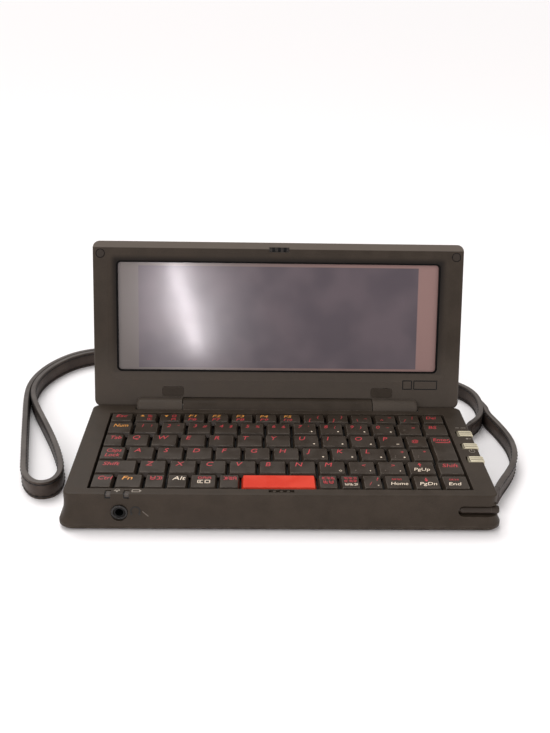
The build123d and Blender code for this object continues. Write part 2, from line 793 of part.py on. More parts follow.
def hinges():
    """Hollow hinge pins held by the barrel, and the friction clips of the lid."""
    for word, side in (("left", -1), ("right", 1)):
        x0, x1 = sorted((side * pin_inner_end, side * pin_outer_end))
        pin = rod_x(x0, x1, hinge_y, hinge_z, pin_radius)
        save(word + "_hinge_pin", pin - rod_x(x0 - 1, x1 + 1, hinge_y, hinge_z, pin_bore))
        x0, x1 = sorted((side * clip_inner_end, side * (clip_inner_end + clip_length)))
        outer = pin_radius + pin_play + clip_wall
        leaf_top = bezel_inner_z + clip_leaf
        clip = rod_x(x0, x1, hinge_y, hinge_z, outer)
        clip = clip + block(x0, x1, hinge_y - 1.6, hinge_y - 0.4, hinge_z + pin_radius, leaf_top)
        clip = clip + block(x0, x1, hinge_y - clip_leaf_reach, hinge_y - 0.4, bezel_inner_z, leaf_top)
        clip = clip - rod_x(x0 - 1, x1 + 1, hinge_y, hinge_z, pin_radius + pin_play)
        for x, y in lid_screw_spots():
            clip = clip - rod_z(x, y, bezel_inner_z - 1, leaf_top + 1, lid_screw_radius + screw_play)
        save(word + "_hinge_clip", opened(clip))


def lid_envelope():
    """The shut lid's outside with rounded corners and edges."""
    outline = RectangleRounded(body_width, lid_rear_y - lid_front_y, corner_radius)
    outline = Pos(0, (lid_front_y + lid_rear_y) / 2, bezel_z) * outline
    lid = extrude(outline, lid_thickness)
    lid = fillet(lid.faces().sort_by(Axis.Z)[-1].edges(), lid_back_round)
    return fillet(lid.faces().sort_by(Axis.Z)[0].edges(), lid_edge_round)


def window(grow, z0, z1):
    """A block through the display window, grown on all sides."""
    near = hinge_y - window_near + grow
    far = hinge_y - window_far - grow
    outline = RectangleRounded(window_width + 2 * grow, near - far, window_round + grow)
    return extrude(Pos(0, (near + far) / 2, z0) * outline, z1 - z0)


def finger_slope():
    """The wedge cut along the lid's free edge, where a finger lifts it."""
    rise = finger_slope_depth / finger_slope_width
    outline = Polygon((lid_front_y + finger_slope_width, bezel_z),
                      (lid_front_y - 1, bezel_z + finger_slope_depth + rise),
                      (lid_front_y - 1, bezel_z - 1),
                      (lid_front_y + finger_slope_width, bezel_z - 1), align=None)
    return extrude(Plane.YZ * outline, half_width + 1, both=True)


def window_dish():
    """The shallow slope of the bezel down to the window on all sides."""
    near = hinge_y - window_near
    far = hinge_y - window_far
    middle = (near + far) / 2
    deep = RectangleRounded(window_width, near - far, window_round)
    wide = RectangleRounded(window_width + 2 * dish_width, near - far + 2 * dish_width,
                            window_round + dish_width)
    return loft([Pos(0, middle, bezel_z) * wide, Pos(0, middle, bezel_z + dish_depth) * deep])


def lid_screw_spots():
    """Two screws under the bumpers and two under the hinge tabs."""
    bumper_x = half_width - lid_screw_inset
    bumper_y = lid_front_y + lid_screw_front
    tab_x = barrel_half + tab_width / 2
    tab_y = hinge_y - tab_near - tab_depth / 2
    return [(-bumper_x, bumper_y), (bumper_x, bumper_y), (-tab_x, tab_y), (tab_x, tab_y)]


def hinge_tab(x, y, grow, z0, z1):
    """A small rounded plate that hides a screw beside the hinge."""
    outline = RectangleRounded(tab_width + 2 * grow, tab_depth + 2 * grow, tab_round)
    return extrude(Pos(x, y, z0) * outline, z1 - z0)


def lid_shells():
    """Back shell and bezel of the lid, with knuckles on the bezel."""
    envelope = lid_envelope()
    inner_x = half_width - lid_wall
    cavity = block(-inner_x, inner_x, lid_front_y + lid_wall, lid_rear_y - lid_wall, bezel_inner_z,
                   lid_top_z - lid_wall)
    shell = (envelope & slab(lid_split_z, lid_top_z + 1)) - cavity
    for x, y in lid_screw_spots():
        shell = shell + rod_z(x, y, bezel_inner_z + 1.2, lid_top_z - lid_wall + 0.2, lid_boss_radius)
        shell = shell - rod_z(x, y, bezel_inner_z, bezel_inner_z + 5, lid_screw_radius + screw_play)
    save("lid_back_shell", opened(shell))

    low = envelope & slab(bezel_z - 1, lid_split_z)
    bezel = low - cavity - finger_slope() - window_dish()
    cove = rod_x(-barrel_half - 1.6, barrel_half + 1.6, hinge_y, hinge_z, cove_radius + cove_wall)
    bezel = bezel + (cove & low)
    bezel = bezel - rod_x(-knuckle_start, knuckle_start, hinge_y, hinge_z, cove_radius)
    bezel = bezel - window(0, bezel_z - 1, bezel_inner_z + 1)
    for side in (-1, 1):
        x0, x1 = sorted((side * knuckle_start, side * knuckle_end))
        knuckle = rod_x(x0, x1, hinge_y, hinge_z, barrel_radius)
        ends = knuckle.edges().sort_by(Axis.X)
        knuckle = fillet(ends[0] if side < 0 else ends[-1], knuckle_end_round)
        bezel = bezel + knuckle
        x0, x1 = sorted((side * (knuckle_start - 1), side * (knuckle_end - 1.7)))
        bezel = bezel - rod_x(x0, x1, hinge_y, hinge_z, knuckle_bore)
        x0, x1 = sorted((side * (clip_inner_end - 0.3), side * (knuckle_end - 1.8)))
        bezel = bezel - block(x0, x1, hinge_y - 3.4, hinge_y - 0.2, hinge_z + 1.0, lid_split_z + 1)
        bezel = bezel - block(x0, x1, hinge_y - 5.0, hinge_y - 0.2, bezel_inner_z, lid_split_z + 1)
    half = comb_width / 2
    bezel = bezel - block(-half, half, latch_y - comb_depth / 2, latch_y + comb_depth / 2,
                          bezel_z - 1, bezel_inner_z + 0.1)
    for x, y in lid_screw_spots():
        bezel = bezel - rod_z(x, y, bezel_z - 1, bezel_inner_z + 1, 1.0)
        if abs(x) > knuckle_end:
            bezel = bezel - rod_z(x, y, bezel_z - 1, bezel_z + 1.45, bumper_radius)
        else:
            bezel = bezel - hinge_tab(x, y, 0.05, bezel_z - 1, bezel_z + tab_seat)
            bezel = bezel - rod_z(x, y, bezel_z - 1, bezel_z + 1.2, lid_screw_head + 0.1)
    save("lid_bezel", opened(bezel))


def lid_parts():
    """Display stack, latch comb, bumpers, covers, screws and the driver board."""
    stack_z = bezel_inner_z + stack_play
    save("touch_panel", opened(window(panel_margin, stack_z, stack_z + glass_thickness)))
    near = hinge_y - window_near
    far = hinge_y - window_far
    lcd_z = stack_z + glass_thickness
    half = lcd_width / 2
    save("display_panel", opened(block(-half, half, far - 1, near + 1, lcd_z, lcd_z + lcd_thickness)))
    tray = block(-half - 1.5, half + 1.5, far - 2, near + 2, lcd_z + lcd_thickness,
                 lcd_z + lcd_thickness + tray_thickness)
    save("backlight_tray", opened(tray))
    driver = block(-driver_end, driver_end, near + 4.0, hinge_y - cove_radius - 2.6, bezel_inner_z,
                   bezel_inner_z + 1.0)
    driver = driver + block(-30, 0, near + 4.6, hinge_y - cove_radius - 4, bezel_inner_z + 1.0,
                            bezel_inner_z + 4.0)
    driver = driver + block(driver_end - 6, driver_end, hinge_y - cable_lid_step - 2,
                            hinge_y - cable_lid_step + 2, bezel_inner_z + 1.0, bezel_inner_z + 3.4)
    save("display_driver_board", opened(driver))

    half = comb_width / 2 - 0.05
    depth = comb_depth / 2 - 0.05
    comb = block(-half, half, latch_y - depth, latch_y + depth, bezel_z + comb_recess, bezel_inner_z)
    pitch = comb_width / (2 * comb_teeth - 1)
    for index in range(comb_teeth):
        x0 = -half + index * 2 * pitch
        x1 = min(x0 + pitch, half)
        comb = comb + block(x0, x1, latch_y - depth, latch_y + depth, bezel_z + 0.3, bezel_inner_z)
    save("latch_comb", opened(comb))

    bumpers = []
    tabs = []
    screws = []
    for x, y in lid_screw_spots():
        seat = tab_seat
        if abs(x) > knuckle_end:
            seat = 0.9
            bumper = rod_z(x, y, bezel_z - 0.3, bezel_z + seat, bumper_radius - 0.05)
            bumpers.append(fillet(bumper.edges().sort_by(Axis.Z)[0], 0.25))
        else:
            tabs.append(hinge_tab(x, y, -0.05, bezel_z - tab_proud, bezel_z + seat))
        head = rod_z(x, y, bezel_z + seat, bezel_z + seat + 0.55, lid_screw_head)
        screws.append(head + rod_z(x, y, bezel_z + seat + 0.5, bezel_z + 6.0, lid_screw_radius))
    save("lid_bumpers", opened(Compound(children=bumpers)))
    save("hinge_tabs", opened(Compound(children=tabs)))
    save("lid_screws", opened(Compound(children=screws)))


def cables():
    """The display cable, which runs through the right hinge pin."""
    inner_x = pin_outer_end + 2.2
    base_run_z = board_top_z + 1.5
    lid_run_z = bezel_inner_z + 2.2
    base_path = FilletPolyline(
        (knuckle_start - 0.2, hinge_y, hinge_z), (cable_x, hinge_y, hinge_z),
        (cable_x, cable_y, hinge_z - cable_drop), (cable_x, cable_y, base_run_z),
        (cable_x, board_back - plug_depth, base_run_z), radius=cable_bend)
    run = sweep(Plane(base_path @ 0, z_dir=base_path % 0) * Circle(cable_radius), path=base_path)
    plug = block(cable_x - plug_half, cable_x + plug_half, board_back - 2 * plug_depth,
                 board_back - plug_depth, board_top_z, board_top_z + plug_height)
    save("display_cable_base", run + plug)
    lid_path = FilletPolyline(
        (knuckle_start, hinge_y, hinge_z), (inner_x, hinge_y, hinge_z),
        (inner_x, hinge_y - cable_rise_step, hinge_z + 2.4), (inner_x, hinge_y - cable_rise_step, lid_run_z),
        (inner_x, hinge_y - cable_lid_step, lid_run_z), (driver_end, hinge_y - cable_lid_step, lid_run_z),
        radius=cable_bend)
    run = sweep(Plane(lid_path @ 0, z_dir=lid_path % 0) * Circle(cable_radius), path=lid_path)
    save("display_cable_lid", opened(run))


def tangent_route(points):
    """Straight runs joined by arcs, each arc as large as its two runs allow."""
    radii = []
    for before, corner, after in zip(points, points[1:], points[2:]):
        run_in = hypot(corner[0] - before[0], corner[1] - before[1])
        run_out = hypot(after[0] - corner[0], after[1] - corner[1])
        turn = atan2(after[1] - corner[1], after[0] - corner[0])
        turn -= atan2(corner[1] - before[1], corner[0] - before[0])
        turn = abs((turn + pi) % (2 * pi) - pi)
        radii.append(strap_arc_share * min(run_in, run_out) / tan(turn / 2))
    return FilletPolyline(*points, radius=radii), radii


def band(points):
    """A flat band on its edge along a route on the table."""
    path, radii = tangent_route(points)
    start = path @ 0
    along = path % 0
    section = Plane(origin=start, x_dir=along.cross(Vector(0, 0, 1)), z_dir=along)
    face = section * Pos(0, strap_width / 2) * Rectangle(strap_thickness, strap_width)
    if face.bounding_box().min.Z < -0.1:
        face = section * Pos(0, -strap_width / 2) * Rectangle(strap_thickness, strap_width)
    solid = sweep(face, path=path)
    length = path.length
    print("band length", round(length, 1), "radii", [round(r, 1) for r in radii])
    print("band volume", round(solid.volume), "of", round(length * strap_width * strap_thickness))
    return solid, path


def strap_end(which):
    """The narrow tongue and loop that hold the strap on its pin."""
    heading, length, y = strap_anchor(which)
    middle_z = pocket_z0 + pocket_height / 2 - 0.2
    half = tongue_height / 2
    loop = rod_z(0, 0, middle_z - half, middle_z + half, loop_outer)
    near = Plane(origin=(loop_outer - 0.5, 0, middle_z), x_dir=(0, 1, 0), z_dir=(1, 0, 0))
    far = Plane(origin=(length, 0, strap_width / 2), x_dir=(0, 1, 0), z_dir=(1, 0, 0))
    waist = Plane(origin=(length - tongue_waist, 0, middle_z), x_dir=(0, 1, 0), z_dir=(1, 0, 0))
    slim = Rectangle(tongue_thickness, tongue_height)
    narrow = loft([near * slim, waist * slim])
    wide = loft([waist * slim, far * Rectangle(strap_thickness, strap_width)])
    piece = loop + narrow + wide
    piece = piece - rod_z(0, 0, middle_z - half - 1, middle_z + half + 1, strap_pin_radius + loop_play)
    return Pos(strap_pin_x, y, 0) * Rot(0, 0, heading) * piece


def strap():
    """The strap, its side branch, their ends, pins and the keeper."""
    main, path = band(strap_route)
    save("strap", main)
    side, _ = band(side_strap_route)
    save("side_strap", side)
    for which in pocket_reach:
        save(which + "_strap_end", strap_end(which))
        save(which + "_strap_pin", strap_pin(which, strap_pin_radius - 0.02))
    end = path @ 1
    along = path % 1
    angle = degrees(atan2(along.Y, along.X))
    inner = strap_thickness / 2 + keeper_play
    reach = inner + keeper_wall
    top = strap_width + keeper_play
    outside = block(-keeper_length, 0.6, -reach, strand_gap + reach, 0.5, top + keeper_wall)
    inside = block(-keeper_length - 1, 1.6, -inner, strand_gap + inner, 0, top)
    save("strap_keeper", Pos(end.X, end.Y, 0) * Rot(0, 0, angle) * (outside - inside))


def main():
    """Write every sub-part."""
    os.makedirs("parts", exist_ok=True)
    base_cases()
    keyboard()
    fasteners_and_feet()
    boards()
    small_deck_parts()
    stylus()
    hinges()
    lid_shells()
    lid_parts()
    cables()
    strap()


main()
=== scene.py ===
# %% [markdown]
# # A handheld computer, dressed over its CAD frame
# The object is a pocket-size computer that opens like a book. Its lid carries a wide
# glossy screen, its base carries a small keyboard, a pen in a groove and a leather strap.
# The CAD model has already settled every size and every joint. This lesson only adds what
# the eye needs: a camera, light, the strap's real leather, the printed legends, the small
# marks and a finish for every part.

# %% Load the frame
import math
import random

import bmesh
import bpy
from mathutils import Matrix, Vector
from mathutils.bvhtree import BVHTree


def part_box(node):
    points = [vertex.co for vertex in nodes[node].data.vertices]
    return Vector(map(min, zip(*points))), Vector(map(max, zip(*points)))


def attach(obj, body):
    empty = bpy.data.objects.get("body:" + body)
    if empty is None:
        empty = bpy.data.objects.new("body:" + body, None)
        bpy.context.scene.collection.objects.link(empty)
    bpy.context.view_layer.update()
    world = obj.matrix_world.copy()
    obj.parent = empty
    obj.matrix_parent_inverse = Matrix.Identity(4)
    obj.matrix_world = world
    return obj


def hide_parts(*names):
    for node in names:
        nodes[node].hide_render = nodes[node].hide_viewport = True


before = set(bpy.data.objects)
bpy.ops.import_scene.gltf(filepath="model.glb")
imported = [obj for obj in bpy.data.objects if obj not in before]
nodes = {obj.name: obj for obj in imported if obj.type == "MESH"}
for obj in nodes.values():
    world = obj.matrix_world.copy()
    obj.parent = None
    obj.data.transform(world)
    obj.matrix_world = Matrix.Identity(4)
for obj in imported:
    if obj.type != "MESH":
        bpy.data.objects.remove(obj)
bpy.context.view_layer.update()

MM = 0.001


def add_object(name, data):
    """A new object in the scene."""
    made = bpy.data.objects.new(name, data)
    bpy.context.scene.collection.objects.link(made)
    return made


# %% [markdown]
# ## The camera
# The photograph looks down on the open computer from the front. A camera has a place, a
# direction and a lens. Its direction is built from three turns: the pitch tips it down,
# the yaw swings it sideways and the roll tilts its horizon. The lens length was worked out
# from the corners of the keyboard deck, whose real distances are known.

# %% The camera
CAMERA_PLACE = Vector((-12.87, -376.21, 222.35)) * MM
CAMERA_PITCH = math.radians(24.54)
CAMERA_YAW = math.radians(-1.60)
CAMERA_ROLL = math.radians(1.18)
CAMERA_LENS = 43.40

camera_data = bpy.data.cameras.new("camera")
camera_data.sensor_width = 36.0
camera_data.lens = CAMERA_LENS
camera_data.clip_start = 0.01
camera = add_object("camera", camera_data)
camera.matrix_world = (
    Matrix.Translation(CAMERA_PLACE)
    @ Matrix.Rotation(CAMERA_YAW, 4, "Z")
    @ Matrix.Rotation(math.pi / 2 - CAMERA_PITCH, 4, "X")
    @ Matrix.Rotation(CAMERA_ROLL, 4, "Z")
)
bpy.context.scene.camera = camera
print("camera at", [round(c, 3) for c in CAMERA_PLACE])

# %% [markdown]
# ## Colours
# A colour picked from a picture is an sRGB value from 0 to 255, but shaders add
# light in linear values. One small helper turns the first into the second. The finishes
# below name their colours in the first way, as three numbers.

# %% Colour helper
def colour(red, green, blue):
    """A given sRGB colour as a linear colour for a shader."""
    linear = []
    for value in (red, green, blue):
        share = value / 255
        low = share / 12.92
        high = ((share + 0.055) / 1.055) ** 2.4
        linear.append(low if share <= 0.04045 else high)
    return (*linear, 1.0)


# %% [markdown]
# ## Building blocks for finishes
# Real plastic is never one flat colour. It has a fine grain and faint clouds of tone, and
# its edges are lighter, partly from wear and partly as a painted highlight. Each finish here
# is a small network of nodes. The patterns read Object coordinates, so they stay fixed to
# the part when it moves, and the grain sizes are given in millimetres because that is how a
# maker would specify them.

# %% Node helpers
EDGE_SAMPLES = 4
EDGE_LIMIT = 0.93


def object_coordinates(tree):
    """Coordinates fixed to the part, in metres."""
    return tree.nodes.new("ShaderNodeTexCoord").outputs["Object"]


def begin(name, coordinates=object_coordinates):
    """A new material with its node tree, its main shader and its coordinates."""
    material = bpy.data.materials.new(name)
    material.use_nodes = True
    tree = material.node_tree
    return material, tree, tree.nodes["Principled BSDF"], coordinates(tree)


def plug(tree, node, **inputs):
    """Sets inputs of a node by name, each to a socket or to a plain value."""
    for name, value in inputs.items():
        socket = node.inputs[name.replace("_", " ")]
        if isinstance(value, bpy.types.NodeSocket):
            tree.links.new(value, socket)
        else:
            socket.default_value = value
    return node


def new_node(tree, kind, **inputs):
    """A new node with some of its inputs set."""
    return plug(tree, tree.nodes.new(f"ShaderNode{kind}"), **inputs)


def noise(tree, coordinates, size_mm, detail=2.0):
    """Soft clouds about size_mm across."""
    return new_node(tree, "TexNoise", Vector=coordinates, Scale=1 / (size_mm * MM),
                    Detail=detail).outputs["Fac"]


def stretch(tree, value, low, high, new_low=0.0, new_high=1.0):
    """The part of a value between low and high, eased from new_low to new_high."""
    node = new_node(tree, "MapRange", Value=value, From_Min=low, From_Max=high,
                    To_Min=new_low, To_Max=new_high)
    node.interpolation_type = "SMOOTHSTEP"
    return node.outputs["Result"]


def arithmetic(tree, kind, first, second):
    """One sum on sockets or plain numbers."""
    node = tree.nodes.new("ShaderNodeMath")
    node.operation = kind
    for socket, value in zip(node.inputs, (first, second)):
        if isinstance(value, (int, float)):
            socket.default_value = value
        else:
            tree.links.new(value, socket)
    return node.outputs[0]


def product(tree, first, second):
    """Two sockets or plain numbers multiplied."""
    return arithmetic(tree, "MULTIPLY", first, second)


def axes(tree, coordinates):
    """The X, Y and Z of a place, each as a socket."""
    return new_node(tree, "SeparateXYZ", Vector=coordinates).outputs[:]


def blend_colours(tree, factor, first, second):
    """A colour between two, each a socket or a given red, green and blue."""
    node = tree.nodes.new("ShaderNodeMix")
    node.data_type = "RGBA"
    tree.links.new(factor, node.inputs["Factor"])
    for socket, value in ((node.inputs[6], first), (node.inputs[7], second)):
        if isinstance(value, tuple):
            socket.default_value = colour(*value)
        else:
            tree.links.new(value, socket)
    return node.outputs[2]


def feed(tree, shader, base, roughness, shine=0.5, **inputs):
    """Gives the main shader its colour, its roughness, its shine and more."""
    plug(tree, shader, Base_Color=base, Roughness=roughness, Specular_IOR_Level=shine, **inputs)


def bump(tree, shader, height, depth_mm, **normal):
    """Raises the surface by up to depth_mm where height is one."""
    node = new_node(tree, "Bump", Strength=1.0, Distance=depth_mm * MM, Height=height, **normal)
    plug(tree, shader, Normal=node.outputs["Normal"])


def rounded_edges(tree, radius_mm):
    """A softened normal, and a value that is one on edges and nought on flats."""
    soft = new_node(tree, "Bevel", Radius=radius_mm * MM)
    soft.samples = EDGE_SAMPLES
    dot = tree.nodes.new("ShaderNodeVectorMath")
    dot.operation = "DOT_PRODUCT"
    tree.links.new(soft.outputs["Normal"], dot.inputs[0])
    tree.links.new(new_node(tree, "NewGeometry").outputs["Normal"], dot.inputs[1])
    return soft.outputs["Normal"], stretch(tree, dot.outputs["Value"], 1.0, EDGE_LIMIT)


# %% [markdown]
# ## Moulded plastic
# The case is moulded in a dark warm grey with a fine matte texture, like very fine sand.
# The same recipe serves the keys, the pen and the ivory buttons with other colours and
# other grain sizes, so it is one function. Two tones are clouded together, the edges are
# a little lighter, partly as wear and partly as a painted highlight, and the roughness
# varies with the same clouds.

# %% Plastic recipe
def plastic(name, dark, light, wear_and_highlight, grain_mm, depth_mm, roughness, radius_mm, shine=0.25):
    """Matte moulded plastic with fine grain, soft clouds, and edges lightened by wear and a
    painted highlight.
    """
    material, tree, shader, place = begin(name)
    clouds = stretch(tree, noise(tree, place, 9.0, 4.0), 0.35, 0.65)
    grain = noise(tree, place, grain_mm, 3.0)
    tone = arithmetic(tree, "ADD", product(tree, clouds, 0.55),
                      product(tree, stretch(tree, grain, 0.3, 0.7), 0.45))
    moulded = blend_colours(tree, tone, dark, light)
    normal, edge = rounded_edges(tree, radius_mm)
    patchy = stretch(tree, noise(tree, place, 3.0, 3.0), 0.35, 0.6)
    # The edges are lightened partly as wear and partly as a painted highlight.
    lightening = product(tree, edge, product(tree, patchy, 0.75))
    feed(tree, shader, blend_colours(tree, lightening, moulded, wear_and_highlight),
         stretch(tree, clouds, 0.0, 1.0, roughness - 0.06, roughness + 0.06), shine)
    bump(tree, shader, grain, depth_mm, Normal=normal)
    return material


# %% The plastics
finishes = {
    "case_plastic": plastic("case_plastic_finish", (51, 43, 35), (62, 53, 45), (98, 89, 80),
                            0.32, 0.05, 0.5, 0.35, 0.15),
    "stylus_plastic": plastic("pen_plastic_finish", (46, 38, 31), (56, 47, 40), (92, 84, 76),
                              0.3, 0.03, 0.42, 0.2),
    "key_plastic": plastic("key_plastic_finish", (47, 39, 31), (58, 49, 41), (112, 102, 92),
                           0.28, 0.03, 0.4, 0.5),
    "space_plastic": plastic("space_bar_plastic_finish", (196, 48, 28), (210, 60, 38),
                             (226, 92, 66), 0.28, 0.03, 0.4, 0.35),
    "ivory_plastic": plastic("ivory_plastic_finish", (186, 176, 150), (204, 194, 168),
                             (226, 218, 198), 0.3, 0.02, 0.4, 0.25),
    "frame_plastic": plastic("frame_plastic_finish", (10, 9, 9), (16, 14, 14), (26, 24, 23),
                             0.4, 0.04, 0.6, 0.2),
    "jack_black": plastic("socket_plastic_finish", (8, 8, 8), (16, 15, 15), (42, 40, 38),
                          0.3, 0.03, 0.5, 0.2),
    "jack_collar": plastic("socket_collar_finish", (24, 21, 19), (34, 30, 28), (84, 78, 73),
                           0.3, 0.02, 0.34, 0.3, 0.4),
    "bumper_rubber": plastic("bumper_rubber_finish", (44, 36, 30), (54, 46, 39), (70, 62, 55),
                             0.35, 0.05, 0.6, 0.2),
}
print("plastics:", len(finishes))

# %% [markdown]
# ## Metal
# Bent steel shows fine brushed lines from the mill and a few clouds where fingers have
# dulled it. The brushed look is a noise that is squeezed in two directions, so it turns
# into long thin lines, and the same lines shake the roughness.

# %% Metal recipe
BRUSH_SQUEEZE = 0.04


def brushed(name, dark, light, roughness, long_axis):
    """Metal with fine lines along one axis, 0 for X and 1 for Y."""
    material, tree, shader, place = begin(name)
    scale = [1.0, 1.0, 1.0]
    scale[long_axis] = BRUSH_SQUEEZE
    squeeze = new_node(tree, "Mapping", Vector=place, Scale=scale)
    lines = noise(tree, squeeze.outputs["Vector"], 0.25, 3.0)
    clouds = noise(tree, place, 4.0, 3.0)
    feed(tree, shader, blend_colours(tree, stretch(tree, lines, 0.3, 0.7), dark, light),
         stretch(tree, clouds, 0.3, 0.7, roughness - 0.08, roughness + 0.1), Metallic=1.0)
    bump(tree, shader, lines, 0.01)
    return material


# %% The metals
finishes.update({
    "steel": brushed("mild_steel_finish", (140, 138, 134), (182, 180, 176), 0.34, 0),
    "screws": brushed("blackened_screw_finish", (52, 50, 49), (86, 83, 80), 0.36, 1),
    "cell_steel": brushed("coin_cell_finish", (176, 176, 174), (206, 206, 204), 0.25, 1),
})

# %% [markdown]
# ## Rubber, boards and wraps
# The parts inside the case are hardly seen, but they are real parts and get their real
# surface too: dusty rubber, green lacquer with copper tracks under it, printed chips, a
# shrink-wrapped battery and a ribbed ribbon cable. Tracks and ribs are wave textures.

# %% Rubber and lacquer
def rubber(name, dark, light, roughness, shine=0.5):
    """Soft rubber with dust in its pores."""
    material, tree, shader, place = begin(name)
    pores = noise(tree, place, 0.35, 4.0)
    dust = stretch(tree, noise(tree, place, 2.5, 4.0), 0.45, 0.75)
    feed(tree, shader, blend_colours(tree, dust, dark, light),
         stretch(tree, pores, 0.3, 0.7, roughness - 0.08, roughness + 0.08), shine)
    bump(tree, shader, pores, 0.03)
    return material


def striped(name, dark, light, pitch_mm, axis, roughness, depth_mm):
    """Parallel tracks or ribs pitch_mm apart across one axis, X, Y or Z."""
    material, tree, shader, place = begin(name)
    wave = new_node(tree, "TexWave", Vector=place, Scale=math.pi / (10 * pitch_mm * MM),
                    Distortion=0.6)
    wave.bands_direction = axis
    ribs = stretch(tree, wave.outputs["Fac"], 0.35, 0.65)
    dirt = stretch(tree, noise(tree, place, 1.5, 4.0), 0.3, 0.75)
    mottled = product(tree, ribs, arithmetic(tree, "ADD", dirt, 0.4))
    feed(tree, shader, blend_colours(tree, mottled, dark, light),
         stretch(tree, dirt, 0.0, 1.0, roughness - 0.06, roughness + 0.1))
    bump(tree, shader, ribs, depth_mm)
    return material


# %% The other finishes
finishes.update({
    "dome_rubber": rubber("dome_rubber_finish", (34, 33, 33), (56, 54, 53), 0.7),
    "circuit_board": striped("circuit_board_finish", (18, 62, 40), (34, 98, 62),
                             0.9, "X", 0.35, 0.02),
    "chips": striped("chip_finish", (22, 22, 23), (34, 34, 36), 0.5, "Y", 0.45, 0.01),
    "battery_wrap": striped("battery_wrap_finish", (52, 64, 92), (64, 78, 110),
                            5.0, "Y", 0.32, 0.04),
    "speaker_metal": striped("speaker_finish", (60, 60, 62), (104, 104, 106),
                             0.8, "X", 0.35, 0.05),
    "cable": striped("ribbon_cable_finish", (126, 84, 40), (168, 118, 62),
                     0.7, "X", 0.34, 0.05),
})
print("finishes so far:", len(finishes))

# %% [markdown]
# ## The lid's own directions
# The lid stands open, leaning back, so sizes on it are not straight up or along. It helps
# to work in the lid's own directions: x across, y up the lid from the hinge line, and z
# out of the screen. One matrix carries such a point to its real place. The hinge line and
# the open angle are those of the lid's joint.

# %% Lid directions
OPEN_ANGLE = math.radians(106.4)
HINGE_PLACE = Vector((0.0, 25.0, 15.9)) * MM
LID_TURN = math.pi - OPEN_ANGLE
lid_place = Matrix.Translation(HINGE_PLACE) @ Matrix.Rotation(LID_TURN, 4, "X")


def lid_extent(name):
    """The lowest and highest corner of a lid part, in the lid's own directions."""
    back = lid_place.inverted()
    places = [back @ vertex.co for vertex in nodes[name].data.vertices]
    low = Vector([min(p[axis] for p in places) for axis in range(3)])
    high = Vector([max(p[axis] for p in places) for axis in range(3)])
    return low, high


panel_front = lid_extent("touch_panel")[1].z
print("panel front at", round(panel_front / MM, 2), "mm")

# %% [markdown]
# ## The glossy screen
# Under the glossy touch panel lies the picture area, a dark violet grey when it is off,
# with a lighter margin all round, where the panel's backing shows. Both are one material:
# a mask in the lid's own directions says what is picture area and what is margin. A clear
# coat gives the sharp reflection of a hard sheet above a duller layer.

# %% Screen finish
PICTURE_HALF = 70.6 * MM
PICTURE_LOW = 19.9 * MM
PICTURE_HIGH = 71.4 * MM
FEATHER = 0.25 * MM
CELL_MM = 0.2
MARGIN_HALF = 80.0 * MM
TOOTH_FOOT = -2.4 * MM


def lid_coordinates(tree):
    """Object coordinates turned into the lid's own directions."""
    turn = tree.nodes.new("ShaderNodeMapping")
    turn.vector_type = "TEXTURE"
    plug(tree, turn, Vector=object_coordinates(tree), Location=HINGE_PLACE,
         Rotation=(LID_TURN, 0.0, 0.0))
    return turn.outputs["Vector"]


def screen_finish():
    """Glossy touch panel over a dark picture area with lighter margins."""
    material, tree, shader, place = begin("touch_panel_finish", lid_coordinates)
    x, y, _ = axes(tree, place)
    across = arithmetic(tree, "ABSOLUTE", x, 0.0)
    beside = stretch(tree, across, PICTURE_HALF + FEATHER, PICTURE_HALF - FEATHER)
    above = stretch(tree, y, PICTURE_LOW - FEATHER, PICTURE_LOW + FEATHER)
    below = stretch(tree, y, PICTURE_HIGH + FEATHER, PICTURE_HIGH - FEATHER)
    inside = product(tree, beside, product(tree, above, below))
    clouds = stretch(tree, noise(tree, place, 26.0, 2.0), 0.35, 0.65)
    picture = blend_colours(tree, clouds, (80, 70, 77), (94, 82, 88))
    side = stretch(tree, x, -MARGIN_HALF, MARGIN_HALF)
    margin = blend_colours(tree, side, (100, 91, 87), (142, 111, 106))
    smears = noise(tree, place, 9.0, 2.0)
    feed(tree, shader, blend_colours(tree, inside, margin, picture),
         stretch(tree, smears, 0.3, 0.7, 0.2, 0.23), Coat_Weight=0.35, Coat_Roughness=0.11)
    return material


def picture_finish():
    """The display panel itself: fine rows of cells behind the touch panel."""
    material, tree, shader, place = begin("display_panel_finish", lid_coordinates)
    cells = new_node(tree, "TexWave", Vector=place, Scale=math.pi / (10 * CELL_MM * MM))
    cells.bands_direction = "X"
    feed(tree, shader, blend_colours(tree, cells.outputs["Fac"], (78, 72, 80), (92, 86, 92)),
         stretch(tree, noise(tree, place, 12.0, 2.0), 0.3, 0.7, 0.25, 0.4))
    return material


def comb_finish():
    """Blackened metal with worn clouds, and painted shade in the pockets between its teeth."""
    material, tree, shader, place = begin("latch_comb_finish")
    out = axes(tree, lid_coordinates(tree))[2]
    tooth = stretch(tree, out, TOOTH_FOOT, TOOTH_FOOT + 0.5 * MM)
    wear = stretch(tree, noise(tree, place, 0.8, 3.0), 0.3, 0.7)
    metal = blend_colours(tree, wear, (34, 30, 27), (52, 47, 43))
    # Painted shade: the pockets between the teeth are near black.
    feed(tree, shader, blend_colours(tree, tooth, (8, 7, 7), metal),
         stretch(tree, wear, 0.0, 1.0, 0.5, 0.36), 0.2)
    return material


finishes["comb_metal"] = comb_finish()

# %% [markdown]
# ## Painted light and shade on the lid
# The lid's free edge slopes back, so that a finger can lift it, and that slope is given a
# painted highlight. Round the window the sloping recess is given painted shade, and the
# lower part of the bezel a little painted light. The lid's plastic is a copy of the case
# plastic with these masks, all soft bands in the lid's own directions.

# %% Lid finish
WINDOW_LOW = 18.0 * MM
WINDOW_HIGH = 73.8 * MM
WINDOW_HALF = 81.5 * MM
RECESS_REACH = 3.4 * MM
LOW_REACH = 0.8 * MM
LOW_SHADE = 0.45
SLOPE_START = 80.2 * MM
SLOPE_FEATHER = 0.2 * MM


